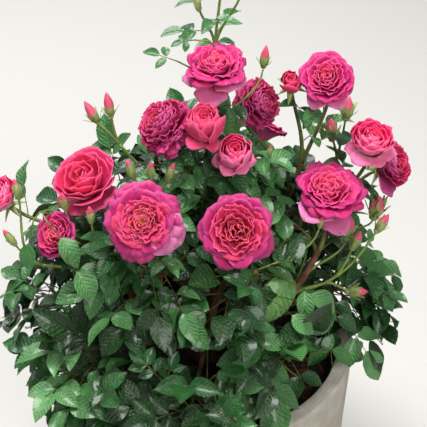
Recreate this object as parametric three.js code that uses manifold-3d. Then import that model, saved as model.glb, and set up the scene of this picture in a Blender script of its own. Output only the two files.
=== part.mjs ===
// A rose bush in bloom, standing in its round stone pot.
// Millimetres, +Z up. The origin is the centre of the pot's flat underside.
// Seen from the front, +X is to the right and +Y points away.

import * as THREE from 'three';
import { mergeVertices } from 'three/addons/utils/BufferGeometryUtils.js';
import Module from 'manifold-3d';

const wasm = await Module();
wasm.setup();

const GOLDEN = Math.PI * (3 - Math.sqrt(5));
const UP = new THREE.Vector3(0, 0, 1);

// Driving sizes

const POT = { height: 340, rimRadius: 180, taper: 0.03, wall: 18.5, floor: 24, softness: 5, sides: 40 };
const SOIL = { belowRim: 34, crowning: 7, mound: 43, clearance: 2, sides: 24 };
const SURFACE = POT.height - SOIL.belowRim;
const SEAT = 0.3; // gap between pieces that rest on each other
const BERTH = 1.0; // how far leaves and twigs keep from limbs, flowers and the pot
const FINEST = 0.01; // the shortest edge that a joint may leave
const FIRST_SEED = 101; // each mass of leaves draws from its own seed, counted from this one

const FOOT = { height: 44, base: 27, neck: 15, lean: [5, -4], sides: 10 };
const CANE = { base: 6.2, tip: 2.9, spread: 0.6, climb: 1.2, low: 18, sides: 5, steps: 7 };
const BOUGH = { base: 4.2, tip: 2.9, sides: 5, steps: 3, short: 0.45 };
const SHOOT = { base: 2.6, tip: 2.0, sides: 4, steps: 3 };
const ROSE = { petals: 5, lobe: 0.06, wave: 0.1, depth: 0.86, deeper: 0.3, sides: 13 };
const BUD = { pointed: 0.35, tall: 1.7, sides: 5 };
const BUD_STEM = { base: 1.8, tip: 1.2, sides: 3, steps: 3 };
const STEM_PULL = 0.38; // how far a stem holds its first and last direction, as a share of its span
const TWIG_STEM = { base: 2.9, tip: 1.9, sides: 4, steps: 3 };
const TWIG = { base: 1.3, tip: 1.1, sides: 3, steps: 1 };
const LEAF = { length: 76, width: 52, thickness: 2.2, widest: 0.42, fold: 0.14, droop: 0.14 };
const MASS = { twigs: 9, sprouts: 4, stemSprouts: 10, turns: 5, leaves: 27, leastTwig: 12, margin: 0.4 };
const GROWTH = {
  stemPast: 0.3, // how far a mass's stem runs on past its middle, as a share of its reach
  firstTwig: 0.3, // where the lowest and the highest twig leave the stem
  lastTwig: 0.98,
  wideLean: 1.5, // the lowest and the highest twig's lean away from the stem, in radians
  narrowLean: 0.6,
  leanScatter: 0.3,
  turnScatter: 0.5, // as much again, round the stem
  lift: 0.15, // how much each twig is lifted as it leaves, and as it ends
  bend: [0.2, 0.4],
  tipRoom: [0.45, 0.7], // what a twig leaves free for its last leaf, in leaf lengths
  leafLean: 1, // the lean of side leaves and of the last leaf away from their twig
  tipLean: 0.25,
  leafTurn: GOLDEN * 1.6, // from each sprout to the next, round the twig
  alongTwig: [0.97, 0.17], // where the first and the last sprout sit on a twig, and on the stem
  alongStem: [0.99, 0.39],
  leastLeaf: 0.6, // the shortest leaf, as a share of the full length
  levelWithin: 250, // how far out a leaf leans halfway between facing up and facing out
};

// Where the limbs go. Azimuths are in degrees from +X towards +Y.

// A cane leaves the foot at azimuth `from` and its tip stands at azimuth `to`, `reach` from the
// middle of the pot and `top` above its underside.
const CANES = {
  right_front: { from: -50, to: -19, reach: 133, top: 508 },
  right: { from: -8, to: 6, reach: 150, top: 520 },
  right_back: { from: 36, to: 27, reach: 124, top: 560 },
  back: { from: 98, to: 84, reach: 110, top: 490 },
  middle: { from: 68, to: 95, reach: 34, top: 610 },
  left_back: { from: 142, to: 160, reach: 62, top: 585 },
  left: { from: 186, to: 190, reach: 135, top: 525 },
  front_left: { from: 226, to: 238, reach: 100, top: 515 },
  front: { from: -92, to: -74, reach: 78, top: 498 },
};

// A bough leaves its cane at `at`, a share of the way up, and ends inside the mass that it carries,
// short of its middle.
const BOUGHS = {
  right: { cane: 'right', at: 0.42 },
  right_back: { cane: 'right_back', at: 0.36 },
  back: { cane: 'back', at: 0.42 },
  left_back: { cane: 'left_back', at: 0.34 },
  left: { cane: 'left', at: 0.42 },
  front_left: { cane: 'front_left', at: 0.42 },
  front: { cane: 'front', at: 0.42 },
  front_right: { cane: 'right_front', at: 0.46 },
};

// A mass of leaves fills its own part of a ball: its middle stands at `azimuth`, `out` from the
// middle of the pot and `z` above its underside. The lower masses hang on boughs of their own name.
const MASSES = {
  right: { azimuth: 6, out: 152, z: 398, reach: 84, bough: 'right' },
  right_back: { azimuth: 50, out: 152, z: 400, reach: 92, bough: 'right_back' },
  back: { azimuth: 93, out: 150, z: 395, reach: 94, bough: 'back' },
  left_back: { azimuth: 137, out: 150, z: 398, reach: 94, bough: 'left_back' },
  left: { azimuth: 180, out: 150, z: 392, reach: 94, bough: 'left' },
  front_left: { azimuth: 222, out: 152, z: 384, reach: 95, bough: 'front_left' },
  front: { azimuth: 264, out: 148, z: 382, reach: 95, bough: 'front' },
  front_right: { azimuth: 308, out: 122, z: 402, reach: 80, bough: 'front_right' },
  upper_right: { azimuth: 18, out: 98, z: 492, reach: 84, cane: 'right', at: 0.74 },
  upper_back: { azimuth: 86, out: 92, z: 495, reach: 88, cane: 'back', at: 0.72 },
  upper_left: { azimuth: 158, out: 105, z: 492, reach: 88, cane: 'left_back', at: 0.62 },
  upper_front_left: { azimuth: 230, out: 92, z: 488, reach: 84, cane: 'front_left', at: 0.76 },
  upper_front: { azimuth: 300, out: 84, z: 488, reach: 80, cane: 'front', at: 0.7 },
  crown: { azimuth: 70, out: 18, z: 568, reach: 84, cane: 'middle', at: 0.58 },
};

// A flower stands on its cane at `at`. Its middle is `place`, it faces an azimuth and so many
// degrees above level, and it measures `across`. A cup of 1 is closed, and of 0 is wide open.
const FLOWERS = {
  top: { cane: 'middle', at: 1, place: [10, 10, 721], face: [-95, 72], across: 72, cup: 0.15 },
  tall_right: { cane: 'right_back', at: 1, place: [129, 20, 698], face: [-112, 50], across: 62, cup: 0.3 },
  faded_left: { cane: 'left_back', at: 1, place: [-50, -20, 665], face: [222, 50], across: 70, cup: 0.1 },
  young: { cane: 'middle', at: 0.9, place: [-3, -40, 680], face: [-90, 68], across: 44, cup: 1 },
  faded_right: { cane: 'right_back', at: 0.82, place: [66, 50, 645], face: [20, 50], across: 64, cup: 0.2 },
  half_open: { cane: 'middle', at: 0.8, place: [29, -42, 643], face: [-85, 48], across: 52, cup: 0.8 },
  left: { cane: 'left', at: 1, place: [-135, -32, 600], face: [236, 56], across: 78, cup: 0.6 },
  great: { cane: 'front_left', at: 1, place: [-66, -110, 604], face: [-93, 42], across: 90, cup: 0 },
  centre: { cane: 'front', at: 1, place: [31, -102, 585], face: [-88, 40], across: 87, cup: 0.15 },
  right: { cane: 'right_front', at: 1, place: [134, -32, 586], face: [-80, 62], across: 86, cup: 0.1 },
  high_right: { cane: 'right', at: 1, place: [181, 2, 630], face: [-70, 62], across: 56, cup: 0.5 },
  far_right: { cane: 'right', at: 0.86, place: [211, 22, 583], face: [-28, 40], across: 58, cup: 0.4 },
  far_left: { cane: 'left', at: 0.84, place: [-233, -18, 568], face: [200, 55], across: 54, cup: 0.5 },
  low_left: { cane: 'left', at: 0.72, place: [-165, -72, 556], face: [232, 44], across: 54, cup: 0.3 },
  rear_left: { cane: 'left_back', at: 0.84, place: [-62, 122, 590], face: [118, 50], across: 66, cup: 0.2 },
  rear_right: { cane: 'back', at: 0.8, place: [78, 148, 570], face: [66, 48], across: 68, cup: 0.1 },
  side_left: { cane: 'left_back', at: 0.7, place: [-150, 108, 508], face: [146, 44], across: 64, cup: 0.4 },
  side_right: { cane: 'right_back', at: 0.68, place: [152, 108, 488], face: [38, 44], across: 66, cup: 0.3 },
  rear: { cane: 'back', at: 1, place: [18, 170, 512], face: [86, 50], across: 62, cup: 0.8 },
};

// A spray of buds leaves its cane at `at`, forks at `fork` and ends in the buds `tips`.
const BUD_SPRAYS = {
  left: {
    cane: 'left_back', at: 0.78, fork: [-97, 5, 622], bud: 7,
    tips: [[-124, 10, 656], [-106, 12, 664]],
  },
  middle: {
    cane: 'left_back', at: 0.56, fork: [-62, -42, 572], bud: 6,
    tips: [[-81, -42, 617], [-60, -52, 623], [-40, -50, 620]],
  },
  far_left: {
    cane: 'left', at: 0.62, fork: [-188, -48, 492], bud: 6,
    tips: [[-208, -34, 585], [-218, -52, 532]],
  },
  right: {
    cane: 'right', at: 0.78, fork: [150, 56, 556], bud: 7,
    tips: [[142, 52, 606], [158, 56, 632]],
  },
  low_right: {
    cane: 'right_front', at: 0.74, fork: [136, -44, 462], bud: 6,
    tips: [[166, -40, 518], [170, -44, 448], [196, -24, 530]],
  },
};

// The tallest leafy shoot rises past the top flower.
const LEADER = {
  cane: 'middle', at: 0.93, fork: [8, 76, 700], bud: 5,
  tips: [[-10, 70, 758], [18, 74, 806], [38, 68, 776]],
};
const LEADER_LEAVES = { count: 5, length: 42, width: 26, lean: 1.05, along: [0.05, 0.75] };

// Helpers: directions, random draws and solids

const vector = ([x, y, z]) => new THREE.Vector3(x, y, z);
const mix = ([low, high], share) => low + (high - low) * share;
const radians = THREE.MathUtils.degToRad;

function polar(azimuth, out, z) {
  return new THREE.Vector3(out * Math.cos(radians(azimuth)), out * Math.sin(radians(azimuth)), z);
}

function facing([azimuth, tilt]) {
  return polar(azimuth, Math.cos(radians(tilt)), Math.sin(radians(tilt)));
}

function seeded(seed) {
  let state = seed >>> 0;
  return () => {
    state = (state + 0x6d2b79f5) >>> 0;
    let mixed = Math.imul(state ^ (state >>> 15), state | 1);
    mixed ^= mixed + Math.imul(mixed ^ (mixed >>> 7), mixed | 61);
    return ((mixed ^ (mixed >>> 14)) >>> 0) / 4294967296;
  };
}

function toSolid(geometry) {
  const bare = geometry.clone();
  bare.deleteAttribute('normal');
  bare.deleteAttribute('uv');
  const merged = mergeVertices(bare, 1e-4);
  const corners = merged.index.array;
  const faces = [];
  for (let i = 0; i < corners.length; i += 3) {
    const [a, b, c] = [corners[i], corners[i + 1], corners[i + 2]];
    if (a !== b && b !== c && c !== a) faces.push(a, b, c);
  }
  return new wasm.Manifold(new wasm.Mesh({
    numProp: 3,
    vertProperties: new Float32Array(merged.attributes.position.array),
    triVerts: new Uint32Array(faces),
  }));
}

function toGeometry(solid) {
  const { numProp, vertProperties, triVerts } = solid.getMesh();
  const places = new Float32Array((vertProperties.length / numProp) * 3);
  for (let i = 0; i < places.length / 3; i += 1) {
    places.set(vertProperties.subarray(i * numProp, i * numProp + 3), i * 3);
  }
  const geometry = new THREE.BufferGeometry();
  geometry.setAttribute('position', new THREE.BufferAttribute(places, 3));
  geometry.setIndex(new THREE.BufferAttribute(new Uint32Array(triVerts), 1));
  geometry.computeVertexNormals();
  return geometry;
}

// The largest connected body, without sealed hollows or loose scraps.
function wholeBody(solid) {
  return solid.decompose().reduce((a, b) => (b.volume() > a.volume() ? b : a));
}

function fuse(pieces) {
  return wholeBody(pieces.reduce((joined, piece) => joined.add(piece)));
}

// A joint is clean when it leaves no edge shorter than the finest detail.
function isClean(solid) {
  const { numProp, vertProperties, triVerts } = solid.getMesh();
  const corner = (i) => vector(vertProperties.slice(triVerts[i] * numProp, triVerts[i] * numProp + 3));
  for (let i = 0; i < triVerts.length; i += 3) {
    const [a, b, c] = [corner(i), corner(i + 1), corner(i + 2)];
    if (Math.min(a.distanceTo(b), b.distanceTo(c), c.distanceTo(a)) < FINEST) return false;
  }
  return true;
}

// Fuses pieces on one body, leaving out any whose joint isn't clean.
function fuseCleanly(body, pieces) {
  return pieces.reduce((joined, piece) => {
    const grown = joined.add(piece);
    return isClean(grown) ? grown : joined;
  }, body);
}

function shape(geometry, move) {
  const places = geometry.attributes.position;
  const point = new THREE.Vector3();
  for (let i = 0; i < places.count; i += 1) {
    const moved = move(point.fromBufferAttribute(places, i));
    places.setXYZ(i, moved.x, moved.y, moved.z);
  }
  return geometry;
}

// Pot and soil

function potSolid(grow = 0) {
  const foot = POT.rimRadius - POT.taper * POT.height;
  const inner = POT.rimRadius - POT.wall - grow;
  const top = POT.height + grow;
  const soft = POT.softness;
  const profile = [
    [0, -grow],
    [foot - soft + grow, -grow],
    [foot + grow, soft],
    [POT.rimRadius + grow, top - soft],
    [POT.rimRadius - soft + grow, top],
    [inner + soft / 2, top],
    [inner, top - soft / 2],
    [foot - POT.wall - grow, POT.floor + grow],
    [0, POT.floor + grow],
  ];
  const outline = profile.map(([r, z]) => new THREE.Vector2(r, z));
  return toSolid(new THREE.LatheGeometry(outline, POT.sides).rotateX(Math.PI / 2));
}

function soilSolid(grow = 0) {
  const bottomRadius = POT.rimRadius - POT.taper * (POT.height - POT.floor) - POT.wall - SOIL.clearance;
  const topRadius = POT.rimRadius - POT.taper * SOIL.belowRim - POT.wall - SOIL.clearance;
  const outline = [
    [0, POT.floor + SEAT],
    [bottomRadius, POT.floor + SEAT],
    [topRadius, SURFACE + grow],
    [SOIL.mound, SURFACE + SOIL.crowning + grow],
    [0, SURFACE + SOIL.crowning + grow],
  ].map(([r, z]) => new THREE.Vector2(r, z));
  return toSolid(new THREE.LatheGeometry(outline, SOIL.sides).rotateX(Math.PI / 2));
}

// Limbs

class CaneCurve extends THREE.Curve {
  constructor(cane) {
    super();
    this.cane = cane;
  }

  getPoint(t, target = new THREE.Vector3()) {
    const { from, to, reach, top } = this.cane;
    const start = SURFACE + CANE.low;
    const azimuth = from + (to - from) * t * t;
    const z = start + (top - start) * t ** CANE.climb;
    return target.copy(polar(azimuth, reach * t ** CANE.spread, z));
  }
}

// A tapering tube bent along a curve, closed at both ends.
function limb(curve, size, grow = 0) {
  const frames = curve.computeFrenetFrames(size.steps);
  const straight = new THREE.CylinderGeometry(1, 1, 1, size.sides, size.steps);
  return toSolid(shape(straight, ({ x, y, z }) => {
    const along = y + 0.5;
    const ring = Math.round(along * size.steps);
    const radius = size.base + (size.tip - size.base) * along + grow;
    return curve.getPointAt(ring / size.steps)
      .addScaledVector(frames.binormals[ring], x * radius)
      .addScaledVector(frames.normals[ring], z * radius);
  }));
}

function footSolid(grow = 0) {
  const [leanX, leanY] = FOOT.lean;
  const ground = SURFACE + SOIL.crowning + SEAT;
  const straight = new THREE.CylinderGeometry(1, 1, 1, FOOT.sides, 4).rotateX(Math.PI / 2);
  return toSolid(shape(straight, ({ x, y, z }) => {
    const along = z + 0.5;
    const flare = (1 - along) ** 2;
    const radius = FOOT.neck + (FOOT.base - FOOT.neck) * flare + grow;
    const height = ground - grow + (FOOT.height + 2 * grow) * along;
    return new THREE.Vector3(x * radius + leanX * along, y * radius + leanY * along, height);
  }));
}

// Leaves, flowers and buds

// A folded blade with its root at `root`, running along `along` with its upper face to `face`.
function leaf(root, along, face, length, width) {
  const side = face.clone().cross(along).normalize();
  const top = along.clone().cross(side).normalize();
  return toSolid(shape(new THREE.OctahedronGeometry(1), ({ x, y, z }) => {
    const run = x <= 0 ? (x + 1) * LEAF.widest : LEAF.widest + x * (1 - LEAF.widest);
    const rise = Math.abs(y) * LEAF.fold * width - run * run * LEAF.droop * length;
    return root.clone()
      .addScaledVector(along, run * length)
      .addScaledVector(side, (y * width) / 2)
      .addScaledVector(top, (z * LEAF.thickness) / 2 + rise);
  }));
}

// Seen from the side: hip, cup of outer petals, rim, and the whorls inside it.
function roseProfile(cup) {
  const deep = ROSE.depth + ROSE.deeper * cup;
  return [
    [0, -deep],
    [0.13, -deep * 0.9],
    [0.5 + 0.08 * cup, -deep * 0.62],
    [0.92, -deep * 0.2],
    [1, 0.05 * cup],
    [0.62 - 0.06 * cup, 0.14 + 0.14 * cup],
    [0.28, 0.04 + 0.08 * cup],
    [0, 0.08 + 0.1 * cup],
  ];
}

function roseSolid(flower, grow = 0) {
  const radius = flower.across / 2;
  const profile = roseProfile(flower.cup);
  const outline = profile.map(([r, z]) => new THREE.Vector2(r, z));
  const turn = new THREE.Quaternion().setFromUnitVectors(UP, facing(flower.face));
  const body = new THREE.LatheGeometry(outline, ROSE.sides).rotateX(Math.PI / 2);
  return toSolid(shape(body, ({ x, y, z }) => {
    const spread = Math.hypot(x, y);
    const lobe = Math.cos(ROSE.petals * Math.atan2(y, x) + 2 * z);
    const open = spread > 0.4 ? 1 + ROSE.lobe * (lobe - 1) : 1;
    const height = z + (spread > 0.6 ? ROSE.wave * lobe * spread * spread : 0);
    return new THREE.Vector3(x * open, y * open, height)
      .multiplyScalar(radius + grow)
      .applyQuaternion(turn)
      .add(vector(flower.place));
  }));
}

function hipOf(flower) {
  const depth = (ROSE.depth + ROSE.deeper * flower.cup) * (flower.across / 2);
  return vector(flower.place).addScaledVector(facing(flower.face), -depth * 0.93);
}

function budSolid(tip, direction, radius, grow = 0) {
  const turn = new THREE.Quaternion().setFromUnitVectors(UP, direction);
  const ball = new THREE.SphereGeometry(1, BUD.sides, 3).rotateX(Math.PI / 2);
  return toSolid(shape(ball, ({ x, y, z }) => {
    const pointed = z > 0 ? 1 - BUD.pointed * z : 1;
    return new THREE.Vector3(x * pointed, y * pointed, z * BUD.tall)
      .multiplyScalar(radius + grow)
      .applyQuaternion(turn)
      .add(tip);
  }));
}

// A stem from a place on a limb to `end`, leaving along the limb and arriving along `arrival`.
function stemCurve(start, leaving, end, arrival) {
  const pull = start.distanceTo(end) * STEM_PULL;
  return new THREE.CubicBezierCurve3(
    start,
    start.clone().addScaledVector(leaving, pull),
    end.clone().addScaledVector(arrival, -pull),
    end,
  );
}

// Where a stem leaves a limb: from its tip, a seat's gap beyond, or from its middle line lower down.
function seatOn(curve, at) {
  const leaving = curve.getTangent(at);
  const start = curve.getPoint(at);
  if (at === 1) start.addScaledVector(leaving, SEAT);
  return { start, leaving };
}

// Cuts a piece clear of the limb it stands on.
function seatedOn(piece, carrier, at) {
  return at === 1 ? piece : wholeBody(piece.subtract(carrier));
}

// Foliage

const centreOf = ({ azimuth, out, z }) => polar(azimuth, out, z);

// How far a ray can run from `from` along `direction` before it leaves the mass's own space,
// which is its ball, cut by a plane against each neighbour whose ball it meets.
function roomIn(mass, from, direction) {
  const middle = centreOf(mass);
  const offset = from.clone().sub(middle);
  const reach = mass.reach - MASS.margin;
  const b = offset.dot(direction);
  const inside = b * b - offset.lengthSq() + reach * reach;
  if (inside <= 0) return 0;
  let room = Math.sqrt(inside) - b;
  for (const other of Object.values(MASSES)) {
    if (other === mass) continue;
    const across = centreOf(other).sub(middle);
    const apart = across.length();
    across.divideScalar(apart);
    const wall = (apart * apart + mass.reach ** 2 - other.reach ** 2) / (2 * apart) - MASS.margin;
    const ahead = wall - offset.dot(across);
    if (ahead <= 0) return 0;
    const speed = direction.dot(across);
    if (speed > 0) room = Math.min(room, ahead / speed);
  }
  return room;
}

// A direction that leans `lean` radians away from `axis`, turned `turn` radians round it.
function leaning(axis, lean, turn) {
  const sideways = new THREE.Vector3(1, 0, 0).cross(axis);
  if (sideways.lengthSq() < 0.01) sideways.set(0, 1, 0).cross(axis);
  sideways.normalize().applyAxisAngle(axis, turn);
  return axis.clone().multiplyScalar(Math.cos(lean)).addScaledVector(sideways, Math.sin(lean));
}

// A leaf looks up and, the further out it grows, away from the middle of the bush.
function lightSide(place) {
  return new THREE.Vector3(place.x, place.y, 0).divideScalar(GROWTH.levelWithin).add(UP);
}

// The sprout number `order` from a twig's tip, which runs on the way the twig ends if it is the first.
function sproutOn(twig, up, order, firstTurn) {
  const lean = order ? GROWTH.leafLean : GROWTH.tipLean;
  return { on: twig, up, lean, turn: firstTurn + order * GROWTH.leafTurn };
}

// The twigs of a mass, and the sprouts that may carry its leaves, by the mass's own random draws.
function growPlan(mass, start, leaving, seed) {
  const random = seeded(seed);
  const middle = centreOf(mass);
  const outward = middle.clone().sub(start).normalize();
  const stemEnd = middle.clone().addScaledVector(outward, mass.reach * GROWTH.stemPast);
  const stem = stemCurve(start, leaving, stemEnd, outward);
  const twigs = [];
  const rows = Array.from({ length: MASS.sprouts }, () => []);
  for (let k = 0; k < MASS.twigs; k += 1) {
    const share = (k + 0.5) / MASS.twigs;
    const at = mix([GROWTH.firstTwig, GROWTH.lastTwig], share);
    const root = stem.getPoint(at);
    const scatter = GROWTH.leanScatter * (random() - 0.5);
    const lean = mix([GROWTH.wideLean, GROWTH.narrowLean], share) + scatter;
    const direction = leaning(stem.getTangent(at), lean, k * GOLDEN + GROWTH.turnScatter * random());
    direction.addScaledVector(UP, GROWTH.lift).normalize();
    const length = roomIn(mass, root, direction) - LEAF.length * mix(GROWTH.tipRoom, random());
    const lifted = direction.clone().addScaledVector(UP, mix(GROWTH.bend, random())).normalize();
    const firstTurn = random() * Math.PI * 2;
    if (length < MASS.leastTwig) continue;
    const twig = stemCurve(root, direction, root.clone().addScaledVector(direction, length), lifted);
    twigs.push(twig);
    rows.forEach((row, j) => {
      const up = mix(GROWTH.alongTwig, j / rows.length);
      row.push(sproutOn(twig, up, j, firstTurn));
    });
  }
  for (let k = 0; k < MASS.stemSprouts; k += 1) {
    const up = mix(GROWTH.alongStem, k / MASS.stemSprouts);
    rows[Math.min(k, rows.length - 1)].push(sproutOn(stem, up, k, 0));
  }
  return { stem, twigs, sprouts: rows.flat() };
}

// The leaf of a sprout, turned round its twig by `turn` more, as long as the space allows.
function leafIn(mass, sprout, turn) {
  const root = sprout.on.getPoint(sprout.up);
  const along = leaning(sprout.on.getTangent(sprout.up), sprout.lean, sprout.turn + turn);
  const length = Math.min(LEAF.length, roomIn(mass, root, along) - MASS.margin);
  if (length < LEAF.length * GROWTH.leastLeaf) return null;
  return leaf(root, along, lightSide(root), length, (LEAF.width * length) / LEAF.length);
}

function keepsToSpace(mass, piece) {
  const middle = centreOf(mass);
  const { numProp, vertProperties } = piece.getMesh();
  for (let i = 0; i < vertProperties.length; i += numProp) {
    const reached = vector(vertProperties.slice(i, i + 3)).sub(middle);
    const span = reached.length();
    if (span > 0 && roomIn(mass, middle, reached.divideScalar(span)) < span) return false;
  }
  return true;
}

function touches(piece, obstacles) {
  return obstacles.some((obstacle) => !piece.intersect(obstacle).isEmpty());
}

// Materials, as seen in daylight

const finish = (color, roughness) => new THREE.MeshStandardMaterial({ color, roughness, metalness: 0 });

const MATERIALS = {
  stone: finish('#b3a48b', 0.9),
  compost: finish('#2b2019', 1),
  bark: finish('#6d5a3a', 0.75),
  greenwood: finish('#6f8444', 0.55),
  foliage: finish('#2f5a34', 0.42),
  petal: finish('#cf2b62', 0.6),
  faded: finish('#8e1c48', 0.7),
};

// Assembly

const bush = new THREE.Group();
const obstacles = [];

function place(name, solid, material) {
  const mesh = new THREE.Mesh(toGeometry(solid), MATERIALS[material]);
  mesh.name = name;
  bush.add(mesh);
}

place('pot', potSolid(), 'stone');
place('soil', soilSolid(), 'compost');
place('foot', footSolid(), 'bark');
obstacles.push(potSolid(BERTH), soilSolid(BERTH), footSolid(BERTH));

const caneCurves = {};
for (const [name, cane] of Object.entries(CANES)) {
  const curve = new CaneCurve(cane);
  caneCurves[name] = curve;
  place(`cane_${name}`, seatedOn(limb(curve, CANE), footSolid(SEAT), 0), 'bark');
  obstacles.push(limb(curve, CANE, BERTH));
}

const boughCurves = {};
for (const [name, bough] of Object.entries(BOUGHS)) {
  const cane = caneCurves[bough.cane];
  const { start, leaving } = seatOn(cane, bough.at);
  const mass = MASSES[name];
  const middle = centreOf(mass);
  const inward = start.clone().sub(middle).normalize();
  const end = middle.clone().addScaledVector(inward, mass.reach * BOUGH.short);
  const side = leaving.clone().sub(inward).normalize();
  const curve = stemCurve(start, side, end, inward.clone().negate());
  boughCurves[name] = curve;
  const carrier = limb(cane, CANE, SEAT);
  place(`bough_${name}`, seatedOn(limb(curve, BOUGH), carrier, bough.at), 'bark');
  obstacles.push(limb(curve, BOUGH, BERTH));
}

for (const [name, flower] of Object.entries(FLOWERS)) {
  const cane = caneCurves[flower.cane];
  const { start, leaving } = seatOn(cane, flower.at);
  const curve = stemCurve(start, leaving, hipOf(flower), facing(flower.face));
  const body = (grow) => fuse([limb(curve, SHOOT, grow), roseSolid(flower, grow)]);
  const carrier = limb(cane, CANE, SEAT);
  const petals = name.startsWith('faded') ? 'faded' : 'petal';
  place(`flower_${name}`, seatedOn(body(0), carrier, flower.at), petals);
  obstacles.push(body(BERTH));
}

// The direction in which a spray's main stem rises, and the way that one of its buds points.
function risingTo(spray) {
  return vector(spray.fork).sub(caneCurves[spray.cane].getPoint(spray.at)).normalize();
}

function pointingOf(spray, tip) {
  return vector(tip).sub(vector(spray.fork)).normalize().addScaledVector(UP, 0.4).normalize();
}

// Each bud's stem starts a little lower in the main stem than the one before it.
function budStem(spray, index) {
  const tip = spray.tips[index];
  const root = vector(spray.fork).addScaledVector(risingTo(spray), -BUD_STEM.base * (1 + index));
  return stemCurve(root, risingTo(spray), vector(tip), pointingOf(spray, tip));
}

function budSpray(spray, grow = 0) {
  const { start, leaving } = seatOn(caneCurves[spray.cane], spray.at);
  const main = stemCurve(start, leaving, vector(spray.fork), risingTo(spray));
  const pieces = [limb(main, { ...BUD_STEM, base: SHOOT.base, tip: BUD_STEM.base + 0.4 }, grow)];
  spray.tips.forEach((tip, index) => {
    pieces.push(limb(budStem(spray, index), BUD_STEM, grow));
    pieces.push(budSolid(vector(tip), pointingOf(spray, tip), spray.bud, grow));
  });
  return pieces;
}

function leaderLeaves() {
  const stem = budStem(LEADER, 1);
  const leaves = [];
  for (let k = 0; k < LEADER_LEAVES.count; k += 1) {
    const at = mix(LEADER_LEAVES.along, k / LEADER_LEAVES.count);
    const direction = leaning(stem.getTangent(at), LEADER_LEAVES.lean, k * GOLDEN);
    const face = lightSide(stem.getPoint(at));
    leaves.push(leaf(stem.getPoint(at), direction, face, LEADER_LEAVES.length, LEADER_LEAVES.width));
  }
  return leaves;
}

for (const [name, spray] of Object.entries(BUD_SPRAYS)) {
  const carrier = limb(caneCurves[spray.cane], CANE, SEAT);
  place(`buds_${name}`, seatedOn(fuse(budSpray(spray)), carrier, spray.at), 'greenwood');
  obstacles.push(fuse(budSpray(spray, BERTH)));
}

const leader = fuse([...budSpray(LEADER), ...leaderLeaves()]);
place('leader', seatedOn(leader, limb(caneCurves[LEADER.cane], CANE, SEAT), LEADER.at), 'foliage');
obstacles.push(fuse([...budSpray(LEADER, BERTH), ...leaderLeaves()]));

Object.entries(MASSES).forEach(([name, mass], index) => {
  const carrier = mass.bough ? boughCurves[mass.bough] : caneCurves[mass.cane];
  const at = mass.bough ? 1 : mass.at;
  const { start, leaving } = seatOn(carrier, at);
  const plan = growPlan(mass, start, leaving, FIRST_SEED + index);
  const stem = limb(plan.stem, TWIG_STEM);
  const clear = (piece) => keepsToSpace(mass, piece) && !touches(piece, obstacles);
  const twigs = plan.twigs.map((twig) => limb(twig, TWIG)).filter(clear);
  const leaves = [];
  for (const sprout of plan.sprouts) {
    const turns = Array.from({ length: MASS.turns }, (_, i) => i * GOLDEN);
    const blades = turns.map((turn) => leafIn(mass, sprout, turn));
    const fitting = blades.find((blade) => blade && clear(blade) && !touches(blade, leaves));
    if (fitting && leaves.length < MASS.leaves) leaves.push(fitting);
  }
  const body = wholeBody(fuseCleanly(stem, [...twigs, ...leaves]));
  place(`mass_${name}`, mass.bough ? body : seatedOn(body, limb(carrier, CANE, SEAT), at), 'foliage');
});

export default bush;
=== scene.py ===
"""A rose bush in bloom in its round stone pot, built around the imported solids, in metres."""

import math
from collections import namedtuple
from types import SimpleNamespace as Values

import bpy
import numpy as np
from bpy.props import FloatProperty, FloatVectorProperty, IntProperty, PointerProperty
from bpy.types import Operator, Panel, PropertyGroup
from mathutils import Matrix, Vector, noise


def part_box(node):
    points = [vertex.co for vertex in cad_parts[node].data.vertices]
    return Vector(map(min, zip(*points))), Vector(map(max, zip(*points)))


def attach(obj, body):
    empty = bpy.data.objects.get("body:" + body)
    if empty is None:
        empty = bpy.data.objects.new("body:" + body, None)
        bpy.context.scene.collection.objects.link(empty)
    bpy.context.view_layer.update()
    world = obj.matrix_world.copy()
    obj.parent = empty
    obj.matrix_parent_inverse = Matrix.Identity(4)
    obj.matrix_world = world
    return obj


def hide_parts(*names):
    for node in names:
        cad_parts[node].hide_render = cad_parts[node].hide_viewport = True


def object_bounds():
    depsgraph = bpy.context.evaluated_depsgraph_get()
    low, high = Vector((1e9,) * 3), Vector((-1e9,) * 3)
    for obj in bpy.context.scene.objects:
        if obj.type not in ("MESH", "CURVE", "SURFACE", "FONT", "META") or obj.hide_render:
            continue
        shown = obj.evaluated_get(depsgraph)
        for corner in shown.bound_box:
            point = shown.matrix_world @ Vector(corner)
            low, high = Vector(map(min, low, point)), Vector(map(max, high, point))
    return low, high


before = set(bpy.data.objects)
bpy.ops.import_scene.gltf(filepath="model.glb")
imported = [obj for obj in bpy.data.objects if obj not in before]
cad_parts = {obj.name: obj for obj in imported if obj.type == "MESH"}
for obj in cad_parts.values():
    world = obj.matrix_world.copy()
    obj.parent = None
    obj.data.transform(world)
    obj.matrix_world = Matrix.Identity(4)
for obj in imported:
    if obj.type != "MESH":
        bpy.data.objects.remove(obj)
cad_box = [list(corner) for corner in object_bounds()]

bl_info = {
    "name": "Rose bush in a pot",
    "version": (1, 0, 0),
    "blender": (4, 5, 0),
    "location": "View3D > Sidebar > Rose bush",
    "description": "Grows a rose bush in bloom on the limbs of its solids",
    "category": "Add Mesh",
}

MAP_NAME = "Surface"
GOLDEN = math.pi * (3 - math.sqrt(5))
ANY_TURN = 6.3  # a little over a full turn, for a phase or a turn that is drawn
UP = np.array([0.0, 0.0, 1.0])
ASKEW = (0.36, 0.48, 0.8)  # a direction that no limb follows
OFF_AXIS = (0.3, 0.2, 0.9)  # one that no flower or bud faces
NEAR = 1e-4  # a short step along a curve, as a share of it
PARALLEL = 0.01  # directions are as good as parallel when the square of their cross product is less

# Sizes that the solids share, in metres

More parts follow.
